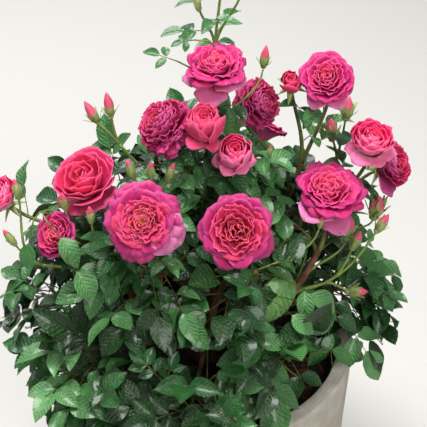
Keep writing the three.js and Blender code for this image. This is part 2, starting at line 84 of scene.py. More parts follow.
POT_LOW, POT_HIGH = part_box("pot")
POT = Values(
    height=POT_HIGH.z, rim_radius=(POT_HIGH.x - POT_LOW.x) / 2, taper=0.03, wall=0.0185, floor=0.024,
)
SOIL = Values(below_rim=0.034, crowning=0.007, mound=0.043, clearance=0.002)
SURFACE = POT.height - SOIL.below_rim
SEAT = 0.0003  # gap between pieces that rest on each other
FOOT = Values(height=0.044, base=0.027, neck=0.015, lean=(0.005, -0.004))
CANE = Values(base=0.0062, tip=0.0029, spread=0.6, climb=1.2, low=0.018)
BOUGH = Values(base=0.0042, tip=0.0029, short=0.45)
SHOOT = Values(base=0.0026, tip=0.0020)
BUD_STEM = Values(base=0.0018, tip=0.0012, rise=0.4)
STEM_PULL = 0.38  # how far a stem holds its first and last direction, as a share of its span
TWIG_STEM = Values(base=0.0029, tip=0.0019)
TWIG = Values(base=0.0015, tip=0.0009)
LEAF = Values(length=0.076, least=0.6)
MASS = Values(twigs=9, sprouts=4, stem_sprouts=10, turns=5, least_twig=0.012, margin=0.0004)
SEEDS = Values(
    masses=101, leaves=707, blooms=500, stamens=560, sprays=700, small_buds=760, leader=770,
    leader_leaves=780, shoots=900,
)
GROWTH = Values(
    stem_past=0.3, first_twig=0.3, last_twig=0.98, wide_lean=1.5, narrow_lean=0.6, lean_scatter=0.3,
    turn_scatter=0.5, lift=0.15, bend=(0.2, 0.4), tip_room=(0.45, 0.7), leaf_lean=1.0, tip_lean=0.25,
    leaf_turn=GOLDEN * 1.6, along_twig=(0.97, 0.17), along_stem=(0.99, 0.39), level_within=0.25,
)

# A cane leaves the foot at one azimuth, in degrees from +X towards +Y, and its tip stands at another.
Cane = namedtuple("Cane", "leaving ending reach top")
CANES = {
    "right_front": Cane(-50, -19, 0.133, 0.508),
    "right": Cane(-8, 6, 0.150, 0.520),
    "right_back": Cane(36, 27, 0.124, 0.560),
    "back": Cane(98, 84, 0.110, 0.490),
    "middle": Cane(68, 95, 0.034, 0.610),
    "left_back": Cane(142, 160, 0.062, 0.585),
    "left": Cane(186, 190, 0.135, 0.525),
    "front_left": Cane(226, 238, 0.100, 0.515),
    "front": Cane(-92, -74, 0.078, 0.498),
}

# A bough leaves its cane a share of the way up and ends inside the mass of its own name.
Bough = namedtuple("Bough", "cane at")
BOUGHS = {
    "right": Bough("right", 0.42),
    "right_back": Bough("right_back", 0.36),
    "back": Bough("back", 0.42),
    "left_back": Bough("left_back", 0.34),
    "left": Bough("left", 0.42),
    "front_left": Bough("front_left", 0.42),
    "front": Bough("front", 0.42),
    "front_right": Bough("right_front", 0.46),
}

# A mass of leaves fills its own part of a ball. The first eight hang on boughs, the rest on canes.
Mass = namedtuple("Mass", "azimuth out height reach cane at", defaults=(None, 1.0))
MASSES = {
    "right": Mass(6, 0.152, 0.398, 0.084),
    "right_back": Mass(50, 0.152, 0.400, 0.092),
    "back": Mass(93, 0.150, 0.395, 0.094),
    "left_back": Mass(137, 0.150, 0.398, 0.094),
    "left": Mass(180, 0.150, 0.392, 0.094),
    "front_left": Mass(222, 0.152, 0.384, 0.095),
    "front": Mass(264, 0.148, 0.382, 0.095),
    "front_right": Mass(308, 0.122, 0.402, 0.080),
    "upper_right": Mass(18, 0.098, 0.492, 0.084, "right", 0.74),
    "upper_back": Mass(86, 0.092, 0.495, 0.088, "back", 0.72),
    "upper_left": Mass(158, 0.105, 0.492, 0.088, "left_back", 0.62),
    "upper_front_left": Mass(230, 0.092, 0.488, 0.084, "front_left", 0.76),
    "upper_front": Mass(300, 0.084, 0.488, 0.080, "front", 0.70),
    "crown": Mass(70, 0.018, 0.568, 0.084, "middle", 0.58),
}

# A flower stands on its cane a share of the way up. It faces an azimuth and so many degrees above
# level, it measures `across`, and a cup of 1 is closed, and of 0 is wide open.
# Guards are outer petals that hang, and a broad of 1 is a petal of usual width.
Flower = namedtuple("Flower", "cane at place face across cup petals dress guards broad", defaults=(0, 1.0))
FLOWERS = {
    "top": Flower("middle", 1, (0.010, 0.010, 0.721), (-100, 80), 0.074, 0.15, 60, "bright", 3, 0.85),
    "tall_right": Flower(
        "right_back", 1, (0.129, 0.020, 0.698), (-106, 54), 0.066, 0.25, 54, "bright", 2, 0.9),
    "faded_left": Flower(
        "left_back", 1, (-0.053, -0.020, 0.671), (200, 50), 0.088, 0.10, 132, "faded", 0, 0.40),
    "young": Flower("middle", 0.90, (-0.003, -0.040, 0.680), (-90, 70), 0.054, 1.00, 30, "coral", 2),
    "faded_right": Flower(
        "right_back", 0.82, (0.066, 0.050, 0.648), (-36, 30), 0.074, 0.20, 128, "faded", 0, 0.40),
    "half_open": Flower("middle", 0.80, (0.029, -0.042, 0.643), (-85, 58), 0.048, 0.95, 24, "blush", 4, 1.1),
    "left": Flower("left", 1, (-0.135, -0.032, 0.603), (226, 70), 0.080, 0.45, 22, "coral", 3, 1.4),
    "great": Flower("front_left", 1, (-0.066, -0.110, 0.604), (-93, 42), 0.088, 0.00, 112, "rich", 0, 0.78),
    "centre": Flower("front", 1, (0.031, -0.102, 0.585), (-88, 40), 0.088, 0.15, 64, "rich", 0, 0.86),
    "right": Flower("right_front", 1, (0.134, -0.032, 0.588), (-80, 76), 0.086, 0.10, 66, "bright", 2, 0.85),
    "high_right": Flower("right", 1, (0.181, 0.002, 0.630), (-80, 76), 0.057, 0.60, 34, "blush", 4, 1.1),
    "far_right": Flower("right", 0.86, (0.211, 0.022, 0.583), (-28, 40), 0.062, 0.35, 54, "deep", 2, 0.8),
    "far_left": Flower("left", 0.84, (-0.233, -0.018, 0.568), (200, 55), 0.054, 0.50, 40, "blush"),
    "low_left": Flower("left", 0.72, (-0.165, -0.072, 0.556), (232, 44), 0.054, 0.30, 46, "rich", 2),
    "rear_left": Flower("left_back", 0.84, (-0.057, 0.120, 0.573), (118, 50), 0.058, 0.20, 56, "bright"),
    "rear_right": Flower("back", 0.80, (0.070, 0.142, 0.552), (66, 48), 0.060, 0.10, 58, "bright"),
    "side_left": Flower("left_back", 0.70, (-0.150, 0.108, 0.508), (146, 44), 0.064, 0.40, 50, "bright"),
    "side_right": Flower("right_back", 0.68, (0.152, 0.108, 0.488), (38, 44), 0.066, 0.30, 54, "bright"),
    "rear": Flower("back", 1, (0.018, 0.170, 0.512), (86, 50), 0.062, 0.80, 34, "coral"),
}
# One more flower, hardly open, that has no solid of its own
CLOSED = {"closed": Flower("right_back", 0.93, (0.091, 0.030, 0.687), (-100, 60), 0.032, 1.0, 14, "coral")}
# A flower's depth in shares of its radius, how much deeper a closed one is, and where its hip sits
ROSE = Values(depth=0.86, deeper=0.3, hip=0.93)
GUARDS = Values(first=-1.1, apart=0.95)  # where the hanging petals stand round the flower, in radians
# The one flower whose outermost petals are paler on one side
PALER_SIDE = Values(flower="great", way=-0.2, least=0.55, depth=0.16)

# A spray of buds leaves its cane, forks once and ends in its buds.
Spray = namedtuple("Spray", "cane at fork bud tips")
SPRAYS = {
    "left": Spray("left_back", 0.78, (-0.097, 0.005, 0.622), 0.007, (
        (-0.124, 0.010, 0.656), (-0.106, 0.012, 0.664))),
    "middle": Spray("left_back", 0.56, (-0.062, -0.042, 0.572), 0.006, (
        (-0.081, -0.042, 0.617), (-0.060, -0.052, 0.623), (-0.040, -0.050, 0.620))),
    "far_left": Spray("left", 0.62, (-0.188, -0.048, 0.492), 0.006, (
        (-0.208, -0.034, 0.585), (-0.218, -0.052, 0.532))),
    "right": Spray("right", 0.78, (0.150, 0.056, 0.556), 0.007, (
        (0.142, 0.052, 0.606), (0.158, 0.056, 0.632))),
    "low_right": Spray("right_front", 0.74, (0.136, -0.044, 0.462), 0.006, (
        (0.166, -0.040, 0.518), (0.170, -0.044, 0.448), (0.196, -0.024, 0.530))),
}
LEADER = Spray("middle", 0.93, (0.008, 0.076, 0.700), 0.005, (
    (-0.010, 0.070, 0.758), (0.018, 0.074, 0.806), (0.038, 0.068, 0.776)))

# The photograph's camera, which looks down by so many degrees
VIEW = Values(place=(0.0069, -1.0881, 1.3725), down=37.8, lens=101.2, sensor=36.0)
# The stretches of cane that stay in view, and how wide their gaps among the leaves are
Bare = namedtuple("Bare", "cane first last radius")
BARE = (Bare("right", 0.36, 1.0, 0.0085), Bare("front", 0.62, 0.90, 0.0045))
BARE_STEPS = 10
LEAF_AHEAD = 0.005  # how far before a bare cane a leaf begins to hide it

# Curves, directions and seeded draws


def unit(vector):
    """The vector at a length of one."""
    return vector / np.linalg.norm(vector)


def mix(ends, share):
    """The value a share of the way between two ends."""
    return ends[0] + (ends[1] - ends[0]) * share


def polar(azimuth, out, height):
    """A point at an azimuth in degrees, so far out and so high."""
    turn = math.radians(azimuth)
    return np.array([out * math.cos(turn), out * math.sin(turn), height])


def facing(face):
    """The direction that an azimuth and a tilt above level give, in degrees."""
    tilt = math.radians(face[1])
    return polar(face[0], math.cos(tilt), math.sin(tilt))


def seeded(seed):
    """A seeded run of numbers from 0 to 1."""
    state = seed

    def draw():
        nonlocal state
        state = (state + 0x6D2B79F5) & 0xFFFFFFFF
        mixed = ((state ^ (state >> 15)) * (state | 1)) & 0xFFFFFFFF
        mixed ^= (mixed + (mixed ^ (mixed >> 7)) * (mixed | 61)) & 0xFFFFFFFF
        return (mixed ^ (mixed >> 14)) / 4294967296

    return draw


def cane_curve(cane):
    """The middle line of a cane, as a function of a share of the way up."""
    start = SURFACE + CANE.low

    def point(t):
        azimuth = cane.leaving + (cane.ending - cane.leaving) * t * t
        height = start + (cane.top - start) * t ** CANE.climb
        return polar(azimuth, cane.reach * t ** CANE.spread, height)

    return point


def stem_curve(start, leaving, end, arrival):
    """A stem that leaves in one direction and arrives in another, as a cubic curve."""
    pull = np.linalg.norm(end - start) * STEM_PULL
    second = start + leaving * pull
    third = end - arrival * pull

    def point(t):
        s = 1 - t
        return s ** 3 * start + 3 * s * s * t * second + 3 * s * t * t * third + t ** 3 * end

    return point


def tangent(curve, t):
    """The direction of a curve at a share of the way along it."""
    return unit(curve(min(t + NEAR, 1.0)) - curve(max(t - NEAR, 0.0)))


def seat_on(curve, at):
    """Where a stem leaves a limb, and the limb's direction there."""
    leaving = tangent(curve, at)
    return curve(at) + (leaving * SEAT if at == 1 else 0), leaving


def turned(vector, axis, angle):
    """The vector turned round an axis."""
    along = axis * (axis @ vector) * (1 - math.cos(angle))
    return vector * math.cos(angle) + np.cross(axis, vector) * math.sin(angle) + along


def leaning(axis, lean, turn):
    """A direction that leans away from an axis, turned round it."""
    sideways = np.cross((1.0, 0.0, 0.0), axis)
    if sideways @ sideways < PARALLEL:
        sideways = np.cross((0.0, 1.0, 0.0), axis)
    return axis * math.cos(lean) + turned(unit(sideways), axis, turn) * math.sin(lean)


def centre_of(mass):
    """The middle of a mass of leaves."""
    return polar(mass.azimuth, mass.out, mass.height)


CANE_CURVES = {name: cane_curve(cane) for name, cane in CANES.items()}


def bough_curve(name):
    """The middle line of the bough that carries a lower mass."""
    bough = BOUGHS[name]
    start, leaving = seat_on(CANE_CURVES[bough.cane], bough.at)
    middle = centre_of(MASSES[name])
    inward = unit(start - middle)
    end = middle + inward * MASSES[name].reach * BOUGH.short
    return stem_curve(start, unit(leaving - inward), end, -inward)


BOUGH_CURVES = {name: bough_curve(name) for name in BOUGHS}


def hip_of(flower):
    """The place of the hip under a flower's petals."""
    depth = (ROSE.depth + ROSE.deeper * flower.cup) * flower.across / 2
    return np.array(flower.place) - facing(flower.face) * depth * ROSE.hip


def shoot_curve(flower):
    """The middle line of the shoot that carries a flower."""
    start, leaving = seat_on(CANE_CURVES[flower.cane], flower.at)
    return stem_curve(start, leaving, hip_of(flower), facing(flower.face))


def rising_to(spray):
    """The direction in which a spray's main stem rises."""
    return unit(np.array(spray.fork) - CANE_CURVES[spray.cane](spray.at))


def pointing_of(spray, tip):
    """The way that a bud of a spray points."""
    return unit(unit(np.array(tip) - np.array(spray.fork)) + UP * BUD_STEM.rise)


def spray_curves(spray):
    """The middle lines of a spray's main stem and of its buds' stems."""
    start, leaving = seat_on(CANE_CURVES[spray.cane], spray.at)
    fork = np.array(spray.fork)
    rising = rising_to(spray)
    curves = [stem_curve(start, leaving, fork, rising)]
    for index, tip in enumerate(spray.tips):
        root = fork - rising * BUD_STEM.base * (1 + index)
        curves.append(stem_curve(root, rising, np.array(tip), pointing_of(spray, tip)))
    return curves


# The rule by which a mass grows


def room_in(mass, start, direction):
    """How far a ray runs before it leaves the mass's own space."""
    middle = centre_of(mass)
    offset = start - middle
    reach = mass.reach - MASS.margin
    ahead = offset @ direction
    inside = ahead * ahead - offset @ offset + reach * reach
    if inside <= 0:
        return 0.0
    room = math.sqrt(inside) - ahead
    for other in MASSES.values():
        if other is mass:
            continue
        across = centre_of(other) - middle
        apart = np.linalg.norm(across)
        across = across / apart
        wall = (apart ** 2 + mass.reach ** 2 - other.reach ** 2) / (2 * apart) - MASS.margin
        left = wall - offset @ across
        if left <= 0:
            return 0.0
        speed = direction @ across
        if speed > 0:
            room = min(room, left / speed)
    return room


def light_side(place):
    """A leaf looks up and, the further out it grows, away from the middle of the bush."""
    return unit(np.array([place[0], place[1], 0.0]) / GROWTH.level_within + UP)


Sprout = namedtuple("Sprout", "on up lean turn")


def sprout_on(twig, up, order, first_turn):
    """The sprout of one order from a twig's tip."""
    lean = GROWTH.leaf_lean if order else GROWTH.tip_lean
    return Sprout(twig, up, lean, first_turn + order * GROWTH.leaf_turn)


def grow_plan(mass, start, leaving, seed):
    """The stem, the twigs and the sprouts of a mass, by the mass's own random draws."""
    draw = seeded(seed)
    middle = centre_of(mass)
    outward = unit(middle - start)
    stem = stem_curve(start, leaving, middle + outward * mass.reach * GROWTH.stem_past, outward)
    twigs = []
    rows = [[] for _ in range(MASS.sprouts)]
    for k in range(MASS.twigs):
        share = (k + 0.5) / MASS.twigs
        at = mix((GROWTH.first_twig, GROWTH.last_twig), share)
        root = stem(at)
        scatter = GROWTH.lean_scatter * (draw() - 0.5)
        lean = mix((GROWTH.wide_lean, GROWTH.narrow_lean), share) + scatter
        turn = k * GOLDEN + GROWTH.turn_scatter * draw()
        direction = unit(leaning(tangent(stem, at), lean, turn) + UP * GROWTH.lift)
        length = room_in(mass, root, direction) - LEAF.length * mix(GROWTH.tip_room, draw())
        lifted = unit(direction + UP * mix(GROWTH.bend, draw()))
        first_turn = draw() * math.pi * 2
        if length < MASS.least_twig:
            continue
        twig = stem_curve(root, direction, root + direction * length, lifted)
        twigs.append(twig)
        for j, row in enumerate(rows):
            row.append(sprout_on(twig, mix(GROWTH.along_twig, j / len(rows)), j, first_turn))
    for k in range(MASS.stem_sprouts):
        up = mix(GROWTH.along_stem, k / MASS.stem_sprouts)
        rows[min(k, len(rows) - 1)].append(sprout_on(stem, up, k, 0.0))
    return stem, twigs, [sprout for row in rows for sprout in row]


# Meshes from arrays


def add_object(name, data):
    """A new object in the scene."""
    made = bpy.data.objects.new(name, data)
    bpy.context.scene.collection.objects.link(made)
    return made


class Pile:
    """Many small shapes, each with its finish, joined into one mesh."""

    def __init__(self):
        self.points = []
        self.corners = []
        self.sizes = []
        self.slots = []
        self.smooth = []
        self.map = []
        self.total = 0

    def add(self, points, faces, places, slot=0, flat=0):
        """Adds one shape: its points, its faces by point number, its map places and its finishes. The
        last faces may be flat."""
        corners = np.concatenate([np.asarray(face) for face in faces])
        self.points.append(points)
        self.corners.append(corners + self.total)
        self.sizes.append(np.array([len(face) for face in faces]))
        self.slots.append(np.zeros(len(faces), int) + slot)
        self.smooth.append(np.arange(len(faces)) < len(faces) - flat)
        self.map.append(np.asarray(places)[corners])
        self.total += len(points)

    def to_object(self, name, finishes):
        """Makes the piece with its finishes."""
        mesh = bpy.data.meshes.new(name)
        points = np.concatenate(self.points)
        corners = np.concatenate(self.corners)
        sizes = np.concatenate(self.sizes)
        mesh.vertices.add(len(points))
        mesh.vertices.foreach_set("co", points.ravel())
        mesh.loops.add(len(corners))
        mesh.loops.foreach_set("vertex_index", corners)
        mesh.polygons.add(len(sizes))
        mesh.polygons.foreach_set("loop_start", np.cumsum(sizes) - sizes)
        mesh.polygons.foreach_set("material_index", np.concatenate(self.slots))
        mesh.polygons.foreach_set("use_smooth", np.concatenate(self.smooth))
        mesh.uv_layers.new(name=MAP_NAME).data.foreach_set("uv", np.concatenate(self.map).ravel())
        mesh.update(calc_edges=True)
        mesh.validate()
        for finish in finishes:
            mesh.materials.append(bpy.data.materials[finish])
        return add_object(name, mesh)


def grid_faces(rows, columns, closed=False):
    """The faces of a grid of points, row by row. A closed grid joins its last column to its first."""
    faces = []
    for i in range(rows - 1):
        for j in range(columns if closed else columns - 1):
            a = i * columns + j
            b = i * columns + (j + 1) % columns
            faces.append((a, b, b + columns, a + columns))
    return faces


def ring_faces(rings, sides):
    """The faces of rings of points, one above the other, with one more face over each end."""
    ends = [tuple(reversed(range(sides))), tuple(range((rings - 1) * sides, rings * sides))]
    return grid_faces(rings, sides, closed=True) + ends


def tube(curve, base, tip, sides, rings, relief=None):
    """The points, faces and map places of a tapering tube, closed at both ends."""
    shares = np.linspace(0, 1, rings)
    middles = [curve(t) for t in shares]
    side = unit(np.cross(tangent(curve, shares[0]), ASKEW))
    points = []
    places = []
    run = 0.0
    for k, t in enumerate(shares):
        along = tangent(curve, t)
        side = unit(side - along * (side @ along))
        over = np.cross(along, side)
        run += np.linalg.norm(middles[k] - middles[k - 1]) if k else 0.0
        for j in range(sides):
            angle = math.tau * j / sides
            radius = mix((base, tip), t)
            if relief:
                radius *= 1 + relief(angle, run)
            points.append(middles[k] + (side * math.cos(angle) + over * math.sin(angle)) * radius)
            places.append((j / sides, run))
    return np.array(points), ring_faces(rings, sides), np.array(places)


LEAST_NORMAL = 1e-12  # keeps a normal of no length from being divided by nothing


def shell(grid, thickness):
    """A closed thin shell on a grid of points: its points, its upper, its lower and its edge faces."""
    rows, columns = grid.shape[:2]
    normal = np.cross(np.gradient(grid, axis=1), np.gradient(grid, axis=0))
    normal /= np.linalg.norm(normal, axis=2, keepdims=True) + LEAST_NORMAL
    count = rows * columns
    upper = grid_faces(rows, columns)
    lower = [tuple(i + count for i in reversed(face)) for face in upper]
    edge = list(range(columns))
    edge += [i * columns + columns - 1 for i in range(1, rows)]
    edge += [(rows - 1) * columns + j for j in range(columns - 2, -1, -1)]
    edge += [i * columns for i in range(rows - 2, 0, -1)]
    ring = [(b, a, a + count, b + count) for a, b in zip(edge, edge[1:] + edge[:1])]
    points = np.concatenate([grid.reshape(-1, 3), (grid - normal * thickness).reshape(-1, 3)])
    return points, upper, lower, ring


# Node trees

EVEN = (1.0, 1.0, 1.0)
LENGTHWISE = (1.0, 1.0, 0.35)
GREY = (0.5, 0.5, 0.5, 1.0)


def add_node(tree, kind, inputs=None, **settings):
    """A node with its settings, and its inputs as values or as links."""
    node = tree.nodes.new(kind)
    for name, value in settings.items():
        setattr(node, name, value)
    for name, value in (inputs or {}).items():
        if isinstance(value, bpy.types.NodeSocket):
            tree.links.new(value, node.inputs[name])
        else:
            node.inputs[name].default_value = value
    return node


def new_group(name, kind, inputs, outputs):
    """A node group with named inputs and outputs, its input node and its output node."""
    tree = bpy.data.node_groups.new(name, kind)
    for label, socket, default in inputs:
        made = tree.interface.new_socket(label, in_out="INPUT", socket_type=socket)
        if default is not None:
            made.default_value = default
    for label, socket in outputs:
        tree.interface.new_socket(label, in_out="OUTPUT", socket_type=socket)
    return tree, tree.nodes.new("NodeGroupInput"), tree.nodes.new("NodeGroupOutput")


def math_node(tree, operation, first, second=0.0):
    """The output of a sum on two values."""
    return add_node(tree, "ShaderNodeMath", {0: first, 1: second}, operation=operation).outputs[0]


def vector_node(tree, operation, inputs):
    """The output of a sum on vectors."""
    return add_node(tree, "ShaderNodeVectorMath", inputs, operation=operation).outputs[0]


def noise_node(tree, place, scale, detail, roughness=0.5):
    """The output of cloudy noise."""
    values = {"Vector": place, "Scale": scale, "Detail": detail, "Roughness": roughness}
    return add_node(tree, "ShaderNodeTexNoise", values).outputs["Fac"]


def combined(tree, **parts):
    """The output of a vector made of its X, Y and Z."""
    return add_node(tree, "ShaderNodeCombineXYZ", parts).outputs[0]


def ranged(tree, value, low, high, to_low=0.0, to_high=1.0):
    """The output of a smooth map from one range to another."""
    values = {0: value, 1: low, 2: high, 3: to_low, 4: to_high}
    return add_node(tree, "ShaderNodeMapRange", values, interpolation_type="SMOOTHSTEP").outputs[0]


def blended(tree, share, first, second, blend="MIX"):
    """The output of a mix of two colours."""
    values = {0: share, 6: first, 7: second}
    return add_node(tree, "ShaderNodeMix", values, data_type="RGBA", blend_type=blend).outputs[2]


def surface_map(tree):
    """The outputs of a piece's own map, across it and up it."""
    place = add_node(tree, "ShaderNodeUVMap", uv_map=MAP_NAME).outputs["UV"]
    split = add_node(tree, "ShaderNodeSeparateXYZ", {0: place})
    return split.outputs["X"], split.outputs["Y"]


def from_half(tree, value):
    """The output of how far a value is from a half."""
    return math_node(tree, "ABSOLUTE", math_node(tree, "SUBTRACT", value, 0.5))


# The patches' detail and edges, and how much finer the grain is than the patches
MOTTLING = Values(detail=5.0, roughness=0.6, edges=(0.35, 0.65), finer=9.0)


def make_mottling():
    """Cloudy patches with fine grain on them, as on stone, bark and soil."""
    inputs = [("Scale", "NodeSocketFloat", 20.0), ("Stretch", "NodeSocketVector", EVEN)]
    outputs = [("Patches", "NodeSocketFloat"), ("Grain", "NodeSocketFloat")]
    tree, start, end = new_group("mottling", "ShaderNodeTree", inputs, outputs)
    place = add_node(tree, "ShaderNodeTexCoord").outputs["Object"]
    place = vector_node(tree, "MULTIPLY", {0: place, 1: start.outputs["Stretch"]})
    scale = start.outputs["Scale"]
    finer = math_node(tree, "MULTIPLY", scale, MOTTLING.finer)
    patches = noise_node(tree, place, scale, MOTTLING.detail, MOTTLING.roughness)
    grain = noise_node(tree, place, finer, MOTTLING.detail, MOTTLING.roughness)
    tree.links.new(ranged(tree, patches, *MOTTLING.edges), end.inputs["Patches"])
    tree.links.new(grain, end.inputs["Grain"])


# Over a blade's map: the pairs of side veins, how far they run forward, where a vein and the swelling
# between two veins begin, how strong a side vein is, and half the width of the midrib
VEINS = Values(pairs=7.0, forward=0.7, edge=0.42, swelling=0.15, strength=0.6, midrib=0.036)


def make_leaf_veins():
    """A midrib and side veins that run forward from it, over a blade's own map."""
    inputs = [("Veins", "NodeSocketFloat", VEINS.pairs)]
    outputs = [("Line", "NodeSocketFloat"), ("Quilting", "NodeSocketFloat")]
    tree, start, end = new_group("leaf veins", "ShaderNodeTree", inputs, outputs)
    across, up = surface_map(tree)
    away = from_half(tree, across)
    forward = math_node(tree, "SUBTRACT", up, math_node(tree, "MULTIPLY", away, VEINS.forward))
    turns = math_node(tree, "MULTIPLY", forward, start.outputs["Veins"])
    between = from_half(tree, math_node(tree, "FRACT", turns))
    side_vein = math_node(tree, "MULTIPLY", ranged(tree, between, VEINS.edge, 0.5), VEINS.strength)
    midrib = ranged(tree, away, VEINS.midrib, 0.0)
    tree.links.new(math_node(tree, "MAXIMUM", midrib, side_vein), end.inputs["Line"])
    hollow = math_node(tree, "MAXIMUM", midrib, ranged(tree, between, VEINS.swelling, 0.5))
    tree.links.new(math_node(tree, "SUBTRACT", 1.0, hollow), end.inputs["Quilting"])


# Over a petal's map: how many streaks stand side by side, and where the colours change
PETAL_FACE = Values(
    streaks=34.0, streak_scale=1.6, streak_detail=3.0, streak_edges=(0.3, 0.7), streak_shade=(0.6, 1.0),
    streak_share=0.35, base_edges=(0.15, 0.75), top_edges=(0.80, 1.0), side_edges=(0.36, 0.5),
    rim_share=0.42,
)


def make_petal_face():
    """A petal's colour from its base to its rim, with fine streaks that run up it, over its own map."""
    inputs = [(label, "NodeSocketColor", GREY) for label in ("Base", "Middle", "Rim")]
    outputs = [("Color", "NodeSocketColor"), ("Streaks", "NodeSocketFloat")]
    tree, start, end = new_group("petal face", "ShaderNodeTree", inputs, outputs)
    base, middle, edge = (start.outputs[label] for label in ("Base", "Middle", "Rim"))
    face = PETAL_FACE
    across, up = surface_map(tree)
    fine = combined(tree, X=math_node(tree, "MULTIPLY", across, face.streaks), Y=up)
    streaks = noise_node(tree, fine, face.streak_scale, face.streak_detail)
    lower = blended(tree, ranged(tree, up, *face.base_edges), base, middle)
    top = ranged(tree, up, *face.top_edges)
    side = ranged(tree, from_half(tree, across), *face.side_edges)
    rim = math_node(tree, "MULTIPLY", math_node(tree, "MAXIMUM", top, side), face.rim_share)
    whole = blended(tree, rim, lower, edge)
    shade = ranged(tree, streaks, *face.streak_edges, *face.streak_shade)
    tree.links.new(blended(tree, face.streak_share, whole, shade, "MULTIPLY"), end.inputs["Color"])
    tree.links.new(streaks, end.inputs["Streaks"])


def use_group(tree, name, inputs=None):
    """A node that places a shader group in a material."""
    return add_node(tree, "ShaderNodeGroup", inputs, node_tree=bpy.data.node_groups[name])


def new_finish(name, colour, roughness, height=None, strength=0.3, distance=0.001, **constants):
    """A material: colour and roughness as values or as makers of sockets, and constants on the shader."""
    material = bpy.data.materials.new(name)
    material.use_nodes = True
    tree = material.node_tree
    shader = tree.nodes["Principled BSDF"]
    for socket, value in (("Base Color", colour), ("Roughness", roughness)):
        made = value(tree) if callable(value) else value
        if isinstance(made, bpy.types.NodeSocket):
            tree.links.new(made, shader.inputs[socket])
        else:
            shader.inputs[socket].default_value = made
    if height:
        values = {"Height": height(tree), "Strength": strength, "Distance": distance}
        tree.links.new(add_node(tree, "ShaderNodeBump", values).outputs[0], shader.inputs["Normal"])
    for label, value in constants.items():
        shader.inputs[label.replace("_", " ")].default_value = value


def tint(colour, share):
    """A colour made darker or paler by a share, as a shader colour."""
    return tuple(min(1.0, part * share) for part in colour[:3]) + (1.0,)


def tinted(code, over):
    """A colour as six hex digits under a tint."""
    return tuple(part * share for part, share in zip(paint(code), (*over, 1.0)))


def paint(code):
    """A colour as six hex digits, in the linear values that a shader takes."""
    parts = [int(code[i:i + 2], 16) / 255 for i in (0, 2, 4)]
    return tuple(p / 12.92 if p <= 0.04045 else ((p + 0.055) / 1.055) ** 2.4 for p in parts) + (1.0,)


# Finishes: stone, soil, bark, leaves and petals

# A petal's colours at its base, over its middle and along its rim, for each whorl and its back.
PETAL_COLOURS = {
    "bright_outer": ("bc1a50", "c02268", "de60a2"),
    "bright_middle": ("d62a60", "dc3672", "ec6ca8"),
    "bright_heart": ("e03454", "e8426c", "f07498"),
    "bright_back": ("d85c90", "cc3e84", "e076ae"),
    "rich_outer": ("b0184e", "b62264", "d868a6"),
    "rich_middle": ("d42850", "da3260", "e86c98"),
    "rich_heart": ("e8364c", "f04664", "f67c92"),
    "rich_back": ("c04c84", "b83478", "d068a4"),
    "pale": ("f0a0c2", "e070a6", "f0a0c6"),
    "coral_outer": ("d02a56", "da366c", "ea74a0"),
    "coral_middle": ("d0264c", "da3260", "ea648e"),
    "coral_heart": ("c41c3c", "d02c50", "de4c70"),
    "coral_back": ("e894ae", "d84470", "e4648e"),
    "blush_outer": ("de2454", "e82e6a", "f06ca2"),
    "blush_middle": ("da2250", "e62c62", "f05c94"),
    "blush_heart": ("d02048", "de2c58", "ea4a74"),
    "blush_back": ("fac8d8", "f67aaa", "f68cb4"),
    "deep_outer": ("b0183e", "b82250", "d0508c"),
    "deep_middle": ("a4142e", "b41e44", "c43a66"),
    "deep_heart": ("8a0e24", "9c162e", "b02846"),
    "deep_back": ("cc5c90", "c04484", "dc7cb0"),
    "faded_outer": ("b0225a", "c03070", "d46a9c"),
    "faded_middle": ("a81e4c", "bc2e62", "cc5484"),
    "faded_heart": ("9c1a3c", "b4284e", "c64068"),
    "faded_back": ("bc5084", "b43c78", "cc6ca0"),
    "bud": ("dcd098", "e0607e", "cc3470"),
}
# A blade's colour, the colour of its veins and the colour of its underside.
LEAF_COLOURS = {
    "leaf_deep": ("12360e", "305624", "3c5c32"),
    "leaf_dark": ("205022", "447438", "4c7242"),
    "leaf_green": ("3a6e36", "649454", "64885a"),
    "leaf_bright": ("50824a", "7ea868", "789866"),
    "leaf_young": ("74a85e", "9ac47e", "86a06a"),
}


# A leaf's patches of light and dark, its veins, its gloss and the depth of its relief
LEAF_FINISH = Values(
    patches=35.0, darker=0.8, paler=1.2, vein_share=0.30, gloss_patches=60.0, roughness=(0.24, 0.38),
    quilting=0.14, wrinkles=0.8, wrinkle_scale=26.0, depth=0.0026,
)


def make_leaf_finish(name, over, blade, vein, back):
    """A glossy blade with paler veins, quilted between them, and a dull pale underside."""
    look = LEAF_FINISH

    def colour(tree):
        veins = use_group(tree, "leaf veins").outputs["Line"]
        patches = use_group(tree, "mottling", {"Scale": look.patches}).outputs["Patches"]
        dark = tint(tinted(blade, over), look.darker)
        pale = tint(tinted(blade, over), look.paler)
        face = blended(tree, patches, dark, pale)
        share = math_node(tree, "MULTIPLY", veins, look.vein_share)
        veined = blended(tree, share, face, tinted(vein, over))
        behind = add_node(tree, "ShaderNodeNewGeometry").outputs["Backfacing"]
        return blended(tree, behind, veined, tinted(back, over))

    def roughness(tree):
        patches = use_group(tree, "mottling", {"Scale": look.gloss_patches}).outputs["Patches"]
        return ranged(tree, patches, 0.0, 1.0, *look.roughness)

    def height(tree):
        veins = use_group(tree, "leaf veins").outputs["Quilting"]
        wrinkles = use_group(tree, "mottling", {"Scale": look.wrinkle_scale}).outputs["Grain"]
        quilting = math_node(tree, "MULTIPLY", veins, look.quilting)
        return math_node(tree, "ADD", quilting, math_node(tree, "MULTIPLY", wrinkles, look.wrinkles))

    new_finish(name, colour, roughness, height, strength=1.0, distance=look.depth,
               Specular_IOR_Level=0.45, Coat_Weight=0.36, Coat_Roughness=0.15)


PETAL_ROUGHNESS = (0.5, 0.66)


